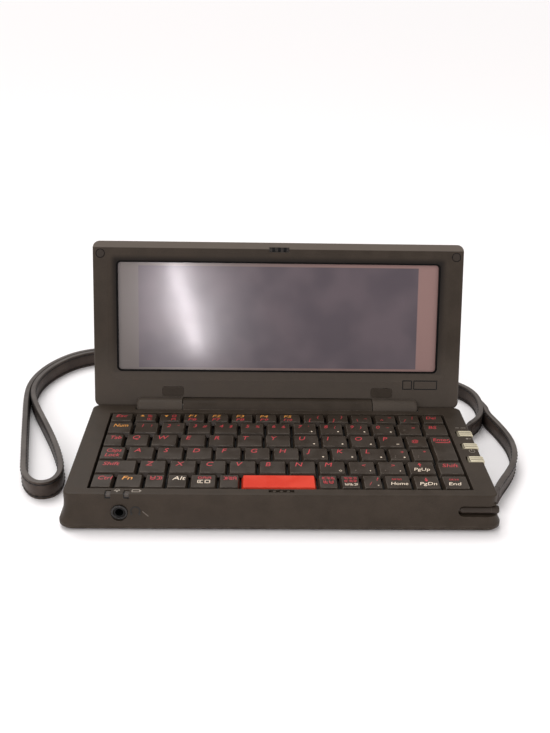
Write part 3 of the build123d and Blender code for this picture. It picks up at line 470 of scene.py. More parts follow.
def lid_finish():
    """Case plastic with painted shade round the window and painted light on the top slope and
    lower bezel.
    """
    material = finishes["case_plastic"].copy()
    material.name = "lid_plastic_finish"
    tree = material.node_tree
    shader = tree.nodes["Principled BSDF"]
    moulded = shader.inputs["Base Color"].links[0].from_socket
    x, y, _ = axes(tree, lid_coordinates(tree))
    across = arithmetic(tree, "ABSOLUTE", x, 0.0)
    # Painted shade round the window: darker towards the top, and only a thin band below it.
    beside = stretch(tree, across, WINDOW_HALF + RECESS_REACH, WINDOW_HALF)
    above = stretch(tree, y, WINDOW_HIGH + RECESS_REACH, WINDOW_HIGH)
    below = stretch(tree, y, WINDOW_LOW - LOW_REACH, WINDOW_LOW, 0.0, LOW_SHADE)
    shade = stretch(tree, y, WINDOW_LOW, WINDOW_HIGH, LOW_SHADE, 1.0)
    painted_recess_shade = product(tree, product(tree, beside, above),
                     arithmetic(tree, "MINIMUM", shade, product(tree, below, 1 / LOW_SHADE)))
    shaded = blend_colours(tree, painted_recess_shade, moulded, (27, 21, 17))
    # Painted highlight on the top slope, and painted light on the lower part of the bezel.
    slope = stretch(tree, y, SLOPE_START - SLOPE_FEATHER, SLOPE_START + SLOPE_FEATHER, 0.0, 0.75)
    foot = stretch(tree, y, WINDOW_HIGH / 2, WINDOW_LOW / 2, 0.0, 0.26)
    lightening = arithmetic(tree, "MAXIMUM", slope, foot)
    plug(tree, shader, Base_Color=blend_colours(tree, lightening, shaded, (108, 99, 91)))
    return material


finishes["lid_bezel"] = finishes["lid_back_shell"] = lid_finish()
finishes["screen"] = screen_finish()
finishes["lcd"] = picture_finish()

# %% [markdown]
# ## The small lamps
# Two tiny lenses stand in the front edge of the deck. They are moulded in smoky plastic
# that looks grey on top. The black of the slot round each one is painted shadow on the
# lens: the value that finds edges for the plastic finds them here too, and this time it
# makes them dark. The left side and the foot of each lens lie in the slot's shadow, so they
# get painted shadow as well.

# %% Lens finish
SLOT_SHADE = 0.55 * MM


def lens_finish(part):
    """Smoky plastic with painted shadow along its left side, its foot and its edges."""
    material, tree, shader, place = begin(f"{part}_finish")
    low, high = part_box(part)
    haze = noise(tree, place, 0.6, 3.0)
    x, _, z = axes(tree, place)
    left = stretch(tree, x, low.x + SLOT_SHADE, low.x + SLOT_SHADE / 2)
    foot = stretch(tree, z, low.z + 2 * SLOT_SHADE, low.z + SLOT_SHADE)
    normal, edge = rounded_edges(tree, 0.3)
    shade = arithmetic(tree, "MAXIMUM", edge, arithmetic(tree, "MAXIMUM", left, foot))
    smoke = blend_colours(tree, haze, (62, 55, 50), (80, 72, 66))
    feed(tree, shader, blend_colours(tree, shade, smoke, (5, 4, 4)),
         stretch(tree, haze, 0.3, 0.7, 0.26, 0.36), 0.25)
    return material


for name in ("charge_lens", "alert_lens"):
    finishes[name] = lens_finish(name)

# %% [markdown]
# ## Leather
# The strap is a flat band of dark leather with painted edges. Leather grain is a net of
# small pebbles, which a Voronoi texture draws well, with finer pores inside each pebble.
# Its outer face has a trace of red-brown where the dye has worn.

# %% Leather finishes
def leather(name, dark, light, pebble_mm, depth_mm, roughness):
    """Pebbled leather with uneven dye."""
    material, tree, shader, place = begin(name)
    pebbles = tree.nodes.new("ShaderNodeTexVoronoi")
    pebbles.feature = "SMOOTH_F1"
    plug(tree, pebbles, Vector=place, Scale=1 / (pebble_mm * MM))
    pores = noise(tree, place, 0.2, 4.0)
    dye = stretch(tree, noise(tree, place, 14.0, 4.0), 0.35, 0.7)
    tone = arithmetic(tree, "ADD", product(tree, dye, 0.7), product(tree, pores, 0.3))
    feed(tree, shader, blend_colours(tree, tone, dark, light),
         stretch(tree, pores, 0.3, 0.7, roughness - 0.08, roughness + 0.08), 0.25)
    height = arithmetic(tree, "SUBTRACT", product(tree, pores, 0.35),
                        pebbles.outputs["Distance"])
    bump(tree, shader, height, depth_mm)
    return material


def thread(name, dark, light):
    """Twisted sewing thread."""
    material, tree, shader, place = begin(name)
    twist = noise(tree, place, 0.25, 2.0)
    feed(tree, shader, blend_colours(tree, stretch(tree, twist, 0.35, 0.65), dark, light),
         stretch(tree, twist, 0.3, 0.7, 0.55, 0.75))
    bump(tree, shader, twist, 0.06)
    return material


finishes["strap_leather"] = leather("strap_leather_finish", (52, 43, 38), (78, 66, 59),
                                    0.7, 0.12, 0.5)
edge_paint = leather("strap_edge_finish", (70, 63, 59), (92, 85, 80), 0.4, 0.05, 0.45)
groove_leather = leather("strap_groove_finish", (18, 14, 12), (32, 26, 23), 0.4, 0.05, 0.6)
strap_thread = thread("strap_thread_finish", (7, 5, 4), (16, 12, 10))

# %% [markdown]
# ## Every part gets its finish
# The record names one material slot for each part. Assigning to the slot of the part's
# object changes its look and nothing else. A few parts have a finish of their own, kept
# under the part's name. One loop does it for all of them, and it stops with an error if a
# slot has no finish, so no part is forgotten.

# %% Dress the CAD parts
for name, part in nodes.items():
    slot = part.material_slots[0].material.name.split(".")[0]
    part.material_slots[0].material = finishes.get(name) or finishes[slot]
print("dressed parts:", len(nodes))

# %% [markdown]
# ## Pieces that are added
# A new piece starts as a bmesh, is turned into a mesh object at the origin, and rides on
# the part that carries it. Shading is smooth, except across edges that turn more than
# forty degrees, which stay crisp.

# %% Piece helper
CRISP_ANGLE = math.radians(40)


def round_off(shape, geometry, radius, steps, affect="EDGES"):
    """Rounds edges, or corners of a flat sheet, in a few steps."""
    bmesh.ops.bevel(shape, geom=geometry, offset=radius, affect=affect, segments=steps,
                    profile=0.5, material=-1, clamp_overlap=False)


def make_piece(name, shape, materials, body):
    """A finished mesh object that rides on a body and takes its finish from a slot."""
    bmesh.ops.recalc_face_normals(shape, faces=shape.faces)
    mesh = bpy.data.meshes.new(name)
    shape.to_mesh(mesh)
    shape.free()
    for material in materials:
        mesh.materials.append(material)
    mesh.shade_smooth()
    mesh.set_sharp_from_angle(angle=CRISP_ANGLE)
    piece = add_object(name, mesh)
    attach(piece, body)
    return piece


# %% [markdown]
# ## The strap's line
# A strap that lies on its edge on a table follows one smooth line. The line is a NURBS
# curve led by a few given control points. They began as those of the CAD part and were
# then moved, a few millimetres at most, until the line followed the photo. Its
# order is three and its ends are pinned, which has to be set after the points are added.
# The curve is then read back as plain points, and the leather is laid along them.

# %% Strap line
STRAP_MIDDLE = 4.5 * MM
STRAP_WIDTH = 9.0 * MM
STRAP_THICKNESS = 2.5 * MM

main_route = [
    (99.6, 23.9), (105.6, 29.9), (109.8, 42.0), (110.6, 58.0), (104.6, 70.6),
    (86.0, 84.6), (52.0, 99.5), (8.0, 109.0), (-38.0, 114.5), (-84.0, 116.2),
    (-104.6, 115.6), (-118.6, 109.2), (-128.8, 95.6), (-134.5, 80.0), (-135.9, 64.6),
    (-133.9, 49.8), (-129.4, 28.6), (-124.6, 6.0), (-120.4, -13.0), (-117.8, -25.0),
    (-113.9, -31.7), (-109.8, -35.3), (-105.0, -35.2), (-101.5, -31.4), (-100.6, -23.8),
    (-103.6, -12.0),
    (-110.2, 5.6), (-118.8, 24.6), (-126.6, 41.4), (-131.2, 53.4), (-133.2, 65.6),
    (-131.8, 79.4), (-126.4, 94.0), (-116.8, 106.6), (-103.6, 112.8), (-83.6, 113.5),
    (-38.3, 110.9), (-12.4, 107.8),
]
side_route = [
    (111.9, 51.0), (112.0, 43.5), (111.2, 36.0), (113.6, 26.5), (115.6, 16.0),
    (116.4, 6.0), (115.3, -4.5), (111.9, -14.5), (106.6, -24.0), (101.6, -31.5),
    (98.2, -37.7),
]


def curve_mesh(name, curve):
    """The mesh of a curve or text, which is then removed."""
    holder = bpy.data.objects.new(name, curve)
    mesh = bpy.data.meshes.new_from_object(holder)
    bpy.data.objects.remove(holder)
    bpy.data.curves.remove(curve)
    return mesh


def smooth_line(name, route):
    """Points along the NURBS curve of a route given in millimetres."""
    curve = bpy.data.curves.new(name, "CURVE")
    curve.dimensions = "3D"
    curve.resolution_u = 10
    spline = curve.splines.new("NURBS")
    spline.points.add(len(route) - 1)
    for point, (x, y) in zip(spline.points, route):
        point.co = (x * MM, y * MM, STRAP_MIDDLE, 1.0)
    spline.order_u = 3
    spline.use_endpoint_u = True
    line = curve_mesh(name, curve)
    points = [vertex.co.copy() for vertex in line.vertices]
    bpy.data.meshes.remove(line)
    return points


def line_length(points):
    """The length of a row of points."""
    return sum((b - a).length for a, b in zip(points, points[1:]))


main_line = smooth_line("main_strap_line", main_route)
side_line = smooth_line("side_strap_line", side_route)
print("main strap", round(line_length(main_line), 4), "m; side strap",
      round(line_length(side_line), 4), "m")

# %% [markdown]
# ## Walking along a line
# To lay leather on the line, the script needs the place and the direction at any distance
# along it. The walker adds up the lengths of the short pieces once, then looks up where a
# distance falls. Directions are averaged at each point, so the band turns without kinks.

# %% Line walker
class Walker:
    """Gives the place and the sideways direction at a distance along a line."""

    def __init__(self, points):
        self.points = points
        self.reach = [0.0]
        for a, b in zip(points, points[1:]):
            self.reach.append(self.reach[-1] + (b - a).length)
        self.total = self.reach[-1]
        self.ways = []
        last = len(points) - 1
        for i in range(len(points)):
            way = points[min(i + 1, last)] - points[max(i - 1, 0)]
            self.ways.append(way.normalized())

    def at(self, distance):
        """The place and the unit direction at a distance from the start."""
        distance = min(max(distance, 0.0), self.total)
        i = 0
        while i < len(self.points) - 2 and self.reach[i + 1] < distance:
            i += 1
        share = (distance - self.reach[i]) / (self.reach[i + 1] - self.reach[i])
        place = self.points[i].lerp(self.points[i + 1], share)
        return place, self.ways[i].lerp(self.ways[i + 1], share).normalized()


def sideways(way):
    """The level direction to the left of a direction."""
    return Vector((-way.y, way.x, 0.0)).normalized()


# %% [markdown]
# ## The leather band
# The band is made the way a saddler makes it: cut flat, edges rounded, then bent into
# shape. Flat, it is a long box. Its four long edges are bevelled, its length is divided
# every few millimetres, and only then each point is carried to the line. The faces that
# look up or down are the painted edges and take the second material, and the sewing
# grooves take a third and darker one.

# %% Band recipe
EDGE_ROUND = 0.35 * MM
BAND_STEP = 2.0 * MM
STITCH_ROW = 3.1 * MM
GROOVE_HALF = 0.3 * MM
GROOVE_DEPTH = 0.2 * MM
PARED_LENGTH = 9.0 * MM
PARED_TO = 0.15


def lengthwise(shape, length):
    """The edges that run along a band."""
    return [e for e in shape.edges
            if abs((e.verts[0].co - e.verts[1].co).x) > length / 2]


def flat_band(length):
    """A flat strip along X with rounded long edges and two sewing grooves on each face."""
    shape = bmesh.new()
    bmesh.ops.create_cube(shape, size=1.0)
    bmesh.ops.scale(shape, vec=(length, STRAP_THICKNESS, STRAP_WIDTH), verts=shape.verts)
    bmesh.ops.translate(shape, vec=(length / 2, 0.0, 0.0), verts=shape.verts)
    round_off(shape, lengthwise(shape, length), EDGE_ROUND, 3)
    for row in (-STITCH_ROW, STITCH_ROW):
        for height in (row - GROOVE_HALF, row, row + GROOVE_HALF):
            bmesh.ops.bisect_plane(shape, geom=shape.verts[:] + shape.edges[:] + shape.faces[:],
                                   plane_co=(0.0, 0.0, height), plane_no=(0.0, 0.0, 1.0))
    for vertex in shape.verts:
        if abs(abs(vertex.co.z) - STITCH_ROW) < GROOVE_HALF / 2:
            vertex.co.y -= math.copysign(GROOVE_DEPTH, vertex.co.y)
    bmesh.ops.subdivide_edges(shape, edges=lengthwise(shape, length),
                              cuts=int(length / BAND_STEP), use_grid_fill=True)
    return shape


def bend_to(shape, walker):
    """Carries a flat shape to the line: X runs along it, Y to its left, Z up."""
    for vertex in shape.verts:
        place, way = walker.at(vertex.co.x)
        side = sideways(way)
        vertex.co = Vector((place.x, place.y, place.z + vertex.co.z)) + side * vertex.co.y


def pare(shape, reach):
    """Thins the start of a flat band towards its right side, as a saddler pares a seam."""
    for vertex in shape.verts:
        if vertex.co.x < reach:
            share = PARED_TO + (1 - PARED_TO) * vertex.co.x / reach
            vertex.co.y = (vertex.co.y + STRAP_THICKNESS / 2) * share - STRAP_THICKNESS / 2


def leather_band(name, walker, pared=0.0):
    """A leather band with painted edges along a line."""
    shape = flat_band(walker.total)
    if pared:
        pare(shape, pared)
    shape.normal_update()
    for face in shape.faces:
        height = abs(face.calc_center_median().z)
        face.material_index = 1 if abs(face.normal.z) > 0.6 else 0
        if abs(height - STITCH_ROW) < GROOVE_HALF:
            face.material_index = 2
    bend_to(shape, walker)
    return make_piece(name, shape, [finishes["strap_leather"], edge_paint, groove_leather],
                      "base")


main_walker = Walker(main_line)
side_walker = Walker(side_line)
main_band = leather_band("strap_band", main_walker)
side_band = leather_band("side_strap_band", side_walker, PARED_LENGTH)
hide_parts("strap")
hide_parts("side_strap")
print("band faces:", len(main_band.data.polygons), len(side_band.data.polygons))

# %% [markdown]
# ## Stitches
# A row of stitches runs near each edge, on both faces. Each stitch is a tiny ball pulled
# long, half sunk in the leather. It is repeated several hundred times, so it has only
# twenty faces. They could be a bump in the material, but real ones keep their shape from
# close by and in a printed mesh.

# %% Stitch rows
STITCH_PITCH = 3.0 * MM
STITCH_LONG = 1.15 * MM
STITCH_THICK = 0.42 * MM
STITCH_LEVELS = (-STITCH_ROW, STITCH_ROW)


def stitch_rows(name, walker, start, end):
    """Stitches along both faces of a band, with a start and an end left free."""
    shape = bmesh.new()
    count = int((walker.total - end - start) / STITCH_PITCH)
    for i in range(count):
        place, way = walker.at(start + (i + 0.5) * STITCH_PITCH)
        side = sideways(way)
        turn = Matrix.Rotation(math.atan2(way.y, way.x), 4, "Z")
        for face_side in (-1, 1):
            for height in STITCH_LEVELS:
                out = side * (face_side * STRAP_THICKNESS / 2)
                spot = place + out + Vector((0, 0, height))
                bmesh.ops.create_icosphere(
                    shape, subdivisions=1, radius=1.0,
                    matrix=Matrix.Translation(spot) @ turn
                    @ Matrix.Diagonal((STITCH_LONG, STITCH_THICK, STITCH_THICK, 1.0)))
    piece = make_piece(name, shape, [strap_thread], "base")
    piece.data.shade_smooth()
    return piece


main_stitches = stitch_rows("strap_stitches", main_walker, 3.0 * MM, 2.0 * MM)
side_stitches = stitch_rows("side_strap_stitches", side_walker, PARED_LENGTH, 4.0 * MM)
print("stitch faces:", len(main_stitches.data.polygons))

# %% [markdown]
# ## Loops and keeper
# At the case the strap is folded round a steel pin, and behind the case a small loop of
# the same leather holds the two strands together. Their shapes are right in the CAD
# model, so each is a copy of it, merged into one skin, with its sharp edges rounded.

# %% Loops and keeper
WELD = 0.01 * MM
FLAT_ANGLE = math.radians(1)
SHARP_ANGLE = math.radians(50)


def leather_copy(name, source):
    """A merged and softened copy of a CAD part, in leather."""
    shape = bmesh.new()
    shape.from_mesh(nodes[source].data)
    bmesh.ops.remove_doubles(shape, verts=shape.verts, dist=WELD)
    bmesh.ops.dissolve_limit(shape, angle_limit=FLAT_ANGLE, verts=shape.verts,
                             edges=shape.edges, use_dissolve_boundaries=False)
    sharp = [e for e in shape.edges
             if len(e.link_faces) == 2 and e.calc_face_angle() > SHARP_ANGLE]
    bmesh.ops.bevel(shape, geom=sharp, offset=EDGE_ROUND, affect="EDGES", segments=2,
                    profile=0.5, material=-1, clamp_overlap=True)
    bmesh.ops.triangulate(shape, faces=shape.faces)
    shape.normal_update()
    for face in shape.faces:
        face.material_index = 1 if abs(face.normal.z) > 0.8 else 0
    piece = make_piece(name, shape, [finishes["strap_leather"], edge_paint], "base")
    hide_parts(source)
    return piece


rear_loop = leather_copy("rear_strap_loop", "rear_strap_end")
front_loop = leather_copy("front_strap_loop", "front_strap_end")
keeper = leather_copy("strap_keeper_loop", "strap_keeper")

# %% [markdown]
# ## Printed marks
# The legends on the keys are printed in three colours: red for the letters and signs,
# orange and pale for the second functions. Print is a thin film of ink, so each legend is
# real text given a few hundredths of a millimetre of height and sunk halfway into the key.
# Text is a curve object in Blender. It is turned into a mesh first and only then moved to
# its key.

# %% Ink finishes
def ink(name, main, faded):
    """Screen-printed ink, thinned in places by wear."""
    material, tree, shader, place = begin(name)
    wear = stretch(tree, noise(tree, place, 0.5, 4.0), 0.5, 0.8)
    feed(tree, shader, blend_colours(tree, wear, main, faded),
         stretch(tree, wear, 0.0, 1.0, 0.4, 0.6))
    return material


inks = {
    "pale": ink("pale_ink", (232, 214, 192), (190, 172, 154)),
    "red": ink("red_ink", (186, 58, 64), (146, 46, 52)),
    "orange": ink("orange_ink", (224, 150, 66), (184, 122, 56)),
    "grey": ink("grey_ink", (150, 140, 128), (112, 104, 95)),
    "black": ink("black_ink", (9, 7, 6), (20, 16, 14)),
    "faint": ink("faint_ink", (112, 102, 92), (86, 77, 69)),
}
INK_RISE = 0.04 * MM

# %% [markdown]
# ## A sheet of marks
# All marks of one colour on one row of keys become one piece, because they move together.
# A sheet collects marks by colour. It can take text, a bar, a triangle, a ring or a dot,
# which is all that the legends and the small signs need.

# %% Mark sheet
SLANT = 0.2
CAPITAL_SHARE = 0.73
NARROW = 0.95


class MarkSheet:
    """Collects printed marks by colour, on a plane given by a matrix, in millimetres."""

    def __init__(self, place):
        self.place = place
        self.shapes = {}
        self.go((0.0, 0.0, 0.0))

    def go(self, spot):
        """Takes the left back corner and the width of a key, to count from there."""
        self.left, self.back, self.width = spot

    def spot(self, x, y, turn=0.0):
        """The matrix of a point counted from the corner."""
        offset = Vector((self.left + x, self.back + y, 0.0)) * MM
        return self.place @ Matrix.Translation(offset) @ Matrix.Rotation(turn, 4, "Z")

    def shape(self, shade):
        """The growing shape of one colour."""
        if shade not in self.shapes:
            self.shapes[shade] = bmesh.new()
        return self.shapes[shade]

    def text(self, words, x, y, tall, shade, wide=None):
        """Words with capitals of a height, standing at x and y, squeezed to a width."""
        curve = bpy.data.curves.new("legend", "FONT")
        curve.body = words
        curve.size = tall / CAPITAL_SHARE * MM
        curve.shear = SLANT
        curve.extrude = INK_RISE
        curve.resolution_u = 3
        mesh = curve_mesh("legend", curve)
        reach = max(vertex.co.x for vertex in mesh.vertices)
        squeeze = NARROW if wide is None else wide * MM / reach
        mesh.transform(Matrix.Diagonal((squeeze, 1.0, 1.0, 1.0)))
        mesh.transform(self.spot(x, y))
        self.shape(shade).from_mesh(mesh)
        bpy.data.meshes.remove(mesh)

    def bar(self, x, y, width, height, shade, turn=0.0):
        """A flat bar centred at x and y."""
        size = (width * MM, height * MM, 2 * INK_RISE, 1.0)
        bmesh.ops.create_cube(self.shape(shade), size=1.0,
                              matrix=self.spot(x, y, turn) @ Matrix.Diagonal(size))

    def disc(self, x, y, radius, shade, sides=16, turn=0.0):
        """A flat dot."""
        bmesh.ops.create_cone(self.shape(shade), cap_ends=True, segments=sides,
                              radius1=radius * MM, radius2=radius * MM, depth=2 * INK_RISE,
                              matrix=self.spot(x, y, turn))

    def arrow(self, x, y, size, shade, down=False):
        """A solid arrow head, which is a dot with three sides."""
        self.disc(x, y, size, shade, 3, math.pi if down else 0.0)

    def ring(self, x, y, radius, line, shade, start=0.0, sweep=2 * math.pi, steps=20):
        """Part of a ring drawn with short bars."""
        length = 2 * radius * math.sin(sweep / steps / 2) + line * 0.5
        for i in range(steps):
            angle = start + sweep * (i + 0.5) / steps
            self.bar(x + radius * math.cos(angle), y + radius * math.sin(angle), line,
                     length, shade, angle)

    def pictures(self, x, y, wide, tall, count, shade):
        """A line of small plain pictograms made of bars, standing at x and y."""
        pitch = wide / count
        box = pitch * 0.78
        thin = tall * 0.16
        for i in range(count):
            left = x + i * pitch
            for level in random.sample((0.08, 0.5, 0.92), 2):
                self.bar(left + box / 2, y + tall * level, box, thin, shade)
            for level in random.sample((0.1, 0.5, 0.9), 2):
                self.bar(left + box * level, y + tall / 2, thin, tall, shade)

    def finish(self, name, body, slot="key_plastic"):
        """Makes one piece for each colour and tells how many."""
        for shade, shape in self.shapes.items():
            make_piece(f"{name}_{shade}", shape, [inks[shade]], body)
        print(name, "in", len(self.shapes), "colours")


# %% [markdown]
# ## The key legends
# Each row lists its keys' widths from left to right, as on the real keyboard. The legend
# of a letter key stands at the upper left of the key's flat top. Keys that have a word get
# it smaller, and some carry a second mark below it in another colour. On the left of the
# keyboard the print stands a little further in.

# %% Key places
KEYS_LEFT = -83.0
KEY_TOP = 16.9 * MM
ROW_TOPS = [16.6, 7.2, -4.8, -16.8, -28.8, -40.8]
ROW_WIDTHS = [
    [11.857] * 14,
    [12.769] * 13,
    [10.2, 12.0] + [13.4] * 9 + [11.5, 11.7],
    [12.6] + [13.35] * 9 + [10.775] * 2,
    [19.2] + [13.4] * 9 + [13.6, 12.6],
    [10.4, 12.8, 9.6, 10.0, 12.6, 10.0, 33.4, 9.7, 9.7, 9.7, 12.7, 12.7, 12.7],
]
KEY_MARGIN = 1.2
PRINT_DRIFT = 0.35
random.seed(7)


def key_row(row):
    """A sheet for a row, and the left, back and width of each key's flat top, in mm."""
    spots = []
    left = KEYS_LEFT
    for width in ROW_WIDTHS[row]:
        drift = PRINT_DRIFT * (1 + left / KEYS_LEFT)
        spots.append((left + KEY_MARGIN + drift, ROW_TOPS[row] - KEY_MARGIN,
                      width - 2 * KEY_MARGIN - drift))
        left += width
    return MarkSheet(Matrix.Translation((0.0, 0.0, KEY_TOP))), spots


# %% [markdown]
# Most keys carry one mark or one mark in each corner, so two helpers print a whole run of
# keys. Many letter keys also carry a small pale dot at the lower right. It marks the
# second meaning of the key when the number lock is on.

# %% Runs of keys
LETTER = 3.5
WORD = 3.0
LETTER_LINE = -4.1
WORD_LINE = -4.0
DOT_IN = 2.0
DOT_LINE = -7.6


def word(sheet, spot, words, x, shade, wide, y=WORD_LINE, tall=WORD):
    """A word on one key."""
    sheet.go(spot)
    sheet.text(words, x, y, tall, shade, wide)


def letters(sheet, spots, signs, x, y=LETTER_LINE, tall=LETTER, shade="red"):
    """One sign on each key of a run."""
    for spot, sign in zip(spots, signs):
        sheet.go(spot)
        sheet.text(sign, x, y, tall, shade)


def dots(sheet, spots, radius=0.45, sides=10, inward=DOT_IN):
    """The pale dot on each key of a run."""
    for spot in spots:
        sheet.go(spot)
        sheet.disc(sheet.width - inward, DOT_LINE, radius, "pale", sides)


# %% Top row
sheet, spots = key_row(0)
word(sheet, spots[0], "Esc", 0.8, "red", 5.8, -3.4, 2.7)
for spot, down in ((spots[1], False), (spots[2], True)):
    sheet.go(spot)
    sheet.arrow(2.2, -2.0, 1.1, "orange", down)
    sheet.pictures(5.0, -3.1, 2.6, 2.2, 1, "red")
    sheet.pictures(4.8, -6.4, 2.8, 2.2, 1, "red")
for i in range(5):
    word(sheet, spots[3 + i], f"F{i + 1}", 1.0, "orange", 4.3, -2.9, 2.4)
    word(sheet, spots[3 + i], f"F{i + 6}", 1.0, "red", 4.4, -6.4, 2.4)
letters(sheet, spots[8:13], "[]\\^/", 1.6, -6.4, 2.6)
letters(sheet, spots[8:13], "{}_~|", 5.8, -3.2, 2.4)
word(sheet, spots[13], "Del", 1.2, "red", 5.4, -3.4, 2.7)
sheet.finish("row1_legends", "row1_keys_body")

# %% Number row
sheet, spots = key_row(1)
word(sheet, spots[0], "Num", 1.0, "orange", 7.2)
letters(sheet, spots[1:11], "1234567890", 1.4, tall=2.9)
letters(sheet, spots[1:11], "!\"#$%&'()~", 6.2, tall=2.3)
dots(sheet, spots[7:11])
letters(sheet, spots[11:12], "-", 1.6, -6.4, 2.9, "faint")
letters(sheet, spots[11:12], "=", 6.0, -4.4, 2.4)
word(sheet, spots[12], "BS", 1.6, "red", 4.4, tall=2.9)
sheet.finish("row2_legends", "row2_keys_body")

# %% Upper letter row
sheet, spots = key_row(2)
word(sheet, spots[0], "Tab", 1.0, "red", 5.6)
letters(sheet, spots[1:11], "QWERTYUIOP", 1.3)
dots(sheet, spots[7:10])
sheet.go(spots[10])
sheet.bar(sheet.width - 2.6, -7.4, 1.4, 0.4, "pale")
letters(sheet, spots[11:12], "@", 1.6, -5.6, 2.6)
sheet.finish("row3_legends", "row3_keys_body")

sheet, spots = key_row(2)
word(sheet, spots[12], "Enter", 0.6, "red", 8.2, -4.2, 2.9)
sheet.bar(5.2, -5.6, 7.0, 0.5, "red")
sheet.bar(8.5, -4.8, 0.5, 2.0, "red")
sheet.finish("enter_legend", "enter_key_body")

# %% Middle letter row
sheet, spots = key_row(3)
word(sheet, spots[0], "Caps", 1.2, "red", 7.2)
word(sheet, spots[0], "Lock", 1.0, "red", 7.0, -8.2)
letters(sheet, spots[1:10], "ASDFGHJKL", 1.6)
dots(sheet, spots[7:11])
letters(sheet, spots[10:12], ";:", 1.6, -7.6, 2.6, "faint")
letters(sheet, spots[10:12], "+*", 4.6, -4.0, 2.6)
sheet.finish("row4_legends", "row4_keys_body")

# %% Lower letter row
sheet, spots = key_row(4)
letters(sheet, spots[1:8], "ZXCVBNM", 1.6)
sheet.go(spots[7])
sheet.ring(sheet.width - DOT_IN, DOT_LINE, 0.5, 0.28, "pale", steps=10)
letters(sheet, spots[8:10], ",.", 1.8, -7.4, 2.8, "faint")
letters(sheet, spots[8:10], "<>", 5.0, tall=2.6)
dots(sheet, spots[8:10], 0.3, 8)
word(sheet, spots[10], "PgUp", 1.6, "pale", 7.4, -7.2, 2.5)
sheet.arrow(5.0, -1.6, 1.0, "red")
sheet.bar(5.0, -2.8, 0.5, 1.6, "red")
sheet.finish("row5_legends", "row5_keys_body")

for name, spot in (("left_shift", spots[0]), ("right_shift", spots[11])):
    sheet = key_row(4)[0]
    word(sheet, spot, "Shift", 1.4, "red", 7.6)
    sheet.finish(f"{name}_legend", f"{name}_key_body")

# %% Bottom row
sheet, spots = key_row(5)
word(sheet, spots[0], "Ctrl", 1.0, "red", 6.6)
word(sheet, spots[1], "Fn", 1.0, "orange", 5.0)
word(sheet, spots[3], "Alt", 1.0, "pale", 5.8)
runs = (
    (2, 0.9, -4.0, 5.8, 2.8, 2, "red"), (4, 2.2, -3.2, 6.2, 1.9, 3, "red"),
    (4, 2.0, -6.6, 6.4, 2.6, 2, "pale"), (5, 0.9, -3.8, 6.0, 2.6, 3, "red"),
    (7, 0.8, -3.0, 6.0, 2.0, 3, "red"), (7, 1.2, -6.4, 5.0, 2.4, 2, "red"),
    (8, 0.8, -2.8, 6.0, 1.7, 3, "red"), (8, 0.8, -5.2, 6.0, 1.7, 3, "red"),
    (8, 0.8, -7.8, 6.0, 1.7, 3, "pale"), (10, 2.6, -3.2, 4.4, 1.2, 4, "red"),
    (12, 2.6, -3.2, 4.4, 1.2, 4, "red"),
)
for key, *run in runs:
    sheet.go(spots[key])
    sheet.pictures(*run)
letters(sheet, spots[9:10], "/", 1.8, -7.4, 2.6)
letters(sheet, spots[9:10], "?", 5.0, -3.8, 2.6)
dots(sheet, spots[9:10], 0.3, 8, 1.4)
for key, words, wide in ((10, "Home", 7.8), (12, "End", 6.0), (11, "PgDn", 7.8)):
    word(sheet, spots[key], words, 1.4, "pale", wide, -7.2, 2.5)
sheet.arrow(5.0, -3.4, 1.0, "red", down=True)
sheet.bar(5.0, -2.2, 0.5, 1.6, "red")
sheet.finish("row6_legends", "row6_keys_body")

# %% [markdown]
# ## Signs on the case
# A few small signs are printed on the case: a bell and a battery by the two lamps, a
# headset by the sound socket, and signs beside the three side buttons. They are plain
# common symbols, drawn with the same bars, dots and rings.

# %% Deck signs
DECK_TOP = 17.0 * MM
sheet = MarkSheet(Matrix.Translation((0.0, 0.0, DECK_TOP)))
bars = (
    (-62.0, -54.4, 3.4, 0.35), (-62.0, -56.0, 3.4, 0.35), (-63.6, -55.2, 0.35, 1.6),
    (-60.4, -55.2, 0.35, 1.6), (-60.0, -55.2, 0.5, 0.8), (-70.0, -55.1, 2.6, 0.35),
    (89.8, -18.4, 0.3, 1.5), (91.4, -7.9, 1.3, 0.3), (87.4, 2.9, 1.8, 0.3),
    (90.4, 2.9, 2.4, 0.3),
)
for bar in bars:
    sheet.bar(*bar, "grey")
sheet.ring(-70.0, -54.8, 0.9, 0.35, "grey", 0.0, math.pi, 8)
sheet.disc(-70.0, -55.8, 0.4, "grey")
sheet.ring(89.8, -19.6, 1.3, 0.3, "grey", math.radians(125), math.radians(290), 16)
sheet.disc(90.0, -7.9, 0.55, "grey")
sheet.finish("deck_signs", "base", "case_plastic")

# %% [markdown]
# ## The headset sign on the front
# The front face slopes a little, so the sign's plane is found by shooting two rays at the
# case from the front and standing the sheet on the two points that they hit.

# %% Headset sign
SIGN_X = -61.0 * MM
case_skin = BVHTree.FromPolygons(
    [v.co for v in nodes["base_upper_case"].data.vertices],
    [tuple(p.vertices) for p in nodes["base_upper_case"].data.polygons])


def front_point(z):
    """Where the front face is, at a height in metres."""
    start = Vector((SIGN_X, -0.2, z))
    return case_skin.ray_cast(start, Vector((0.0, 1.0, 0.0)))[0]


low = front_point(7.0 * MM)
high = front_point(11.0 * MM)
slope = math.atan2(high.z - low.z, high.y - low.y)
sheet = MarkSheet(Matrix.Translation((low + high) / 2) @ Matrix.Rotation(slope, 4, "X")
                  @ Matrix.Translation((0.0, 0.0, INK_RISE)))
sheet.ring(-1.2, 0.0, 1.9, 0.45, "black", math.radians(-25), math.radians(230), 14)
sheet.bar(-2.9, -1.2, 0.7, 1.3, "black")
sheet.bar(0.5, -1.2, 0.7, 1.3, "black")
sheet.bar(3.0, -1.2, 0.3, 3.4, "faint", math.radians(48))
sheet.finish("front_sign", "base", "case_plastic")

# %% [markdown]
# ## Ribs on the ivory buttons
# The three side buttons have fine ribs along their tops, so that a thumb grips them. Each
# rib is a long block with its edges rounded. They are added on top of the CAD button and
# ride with it, so they go in when it is pressed.

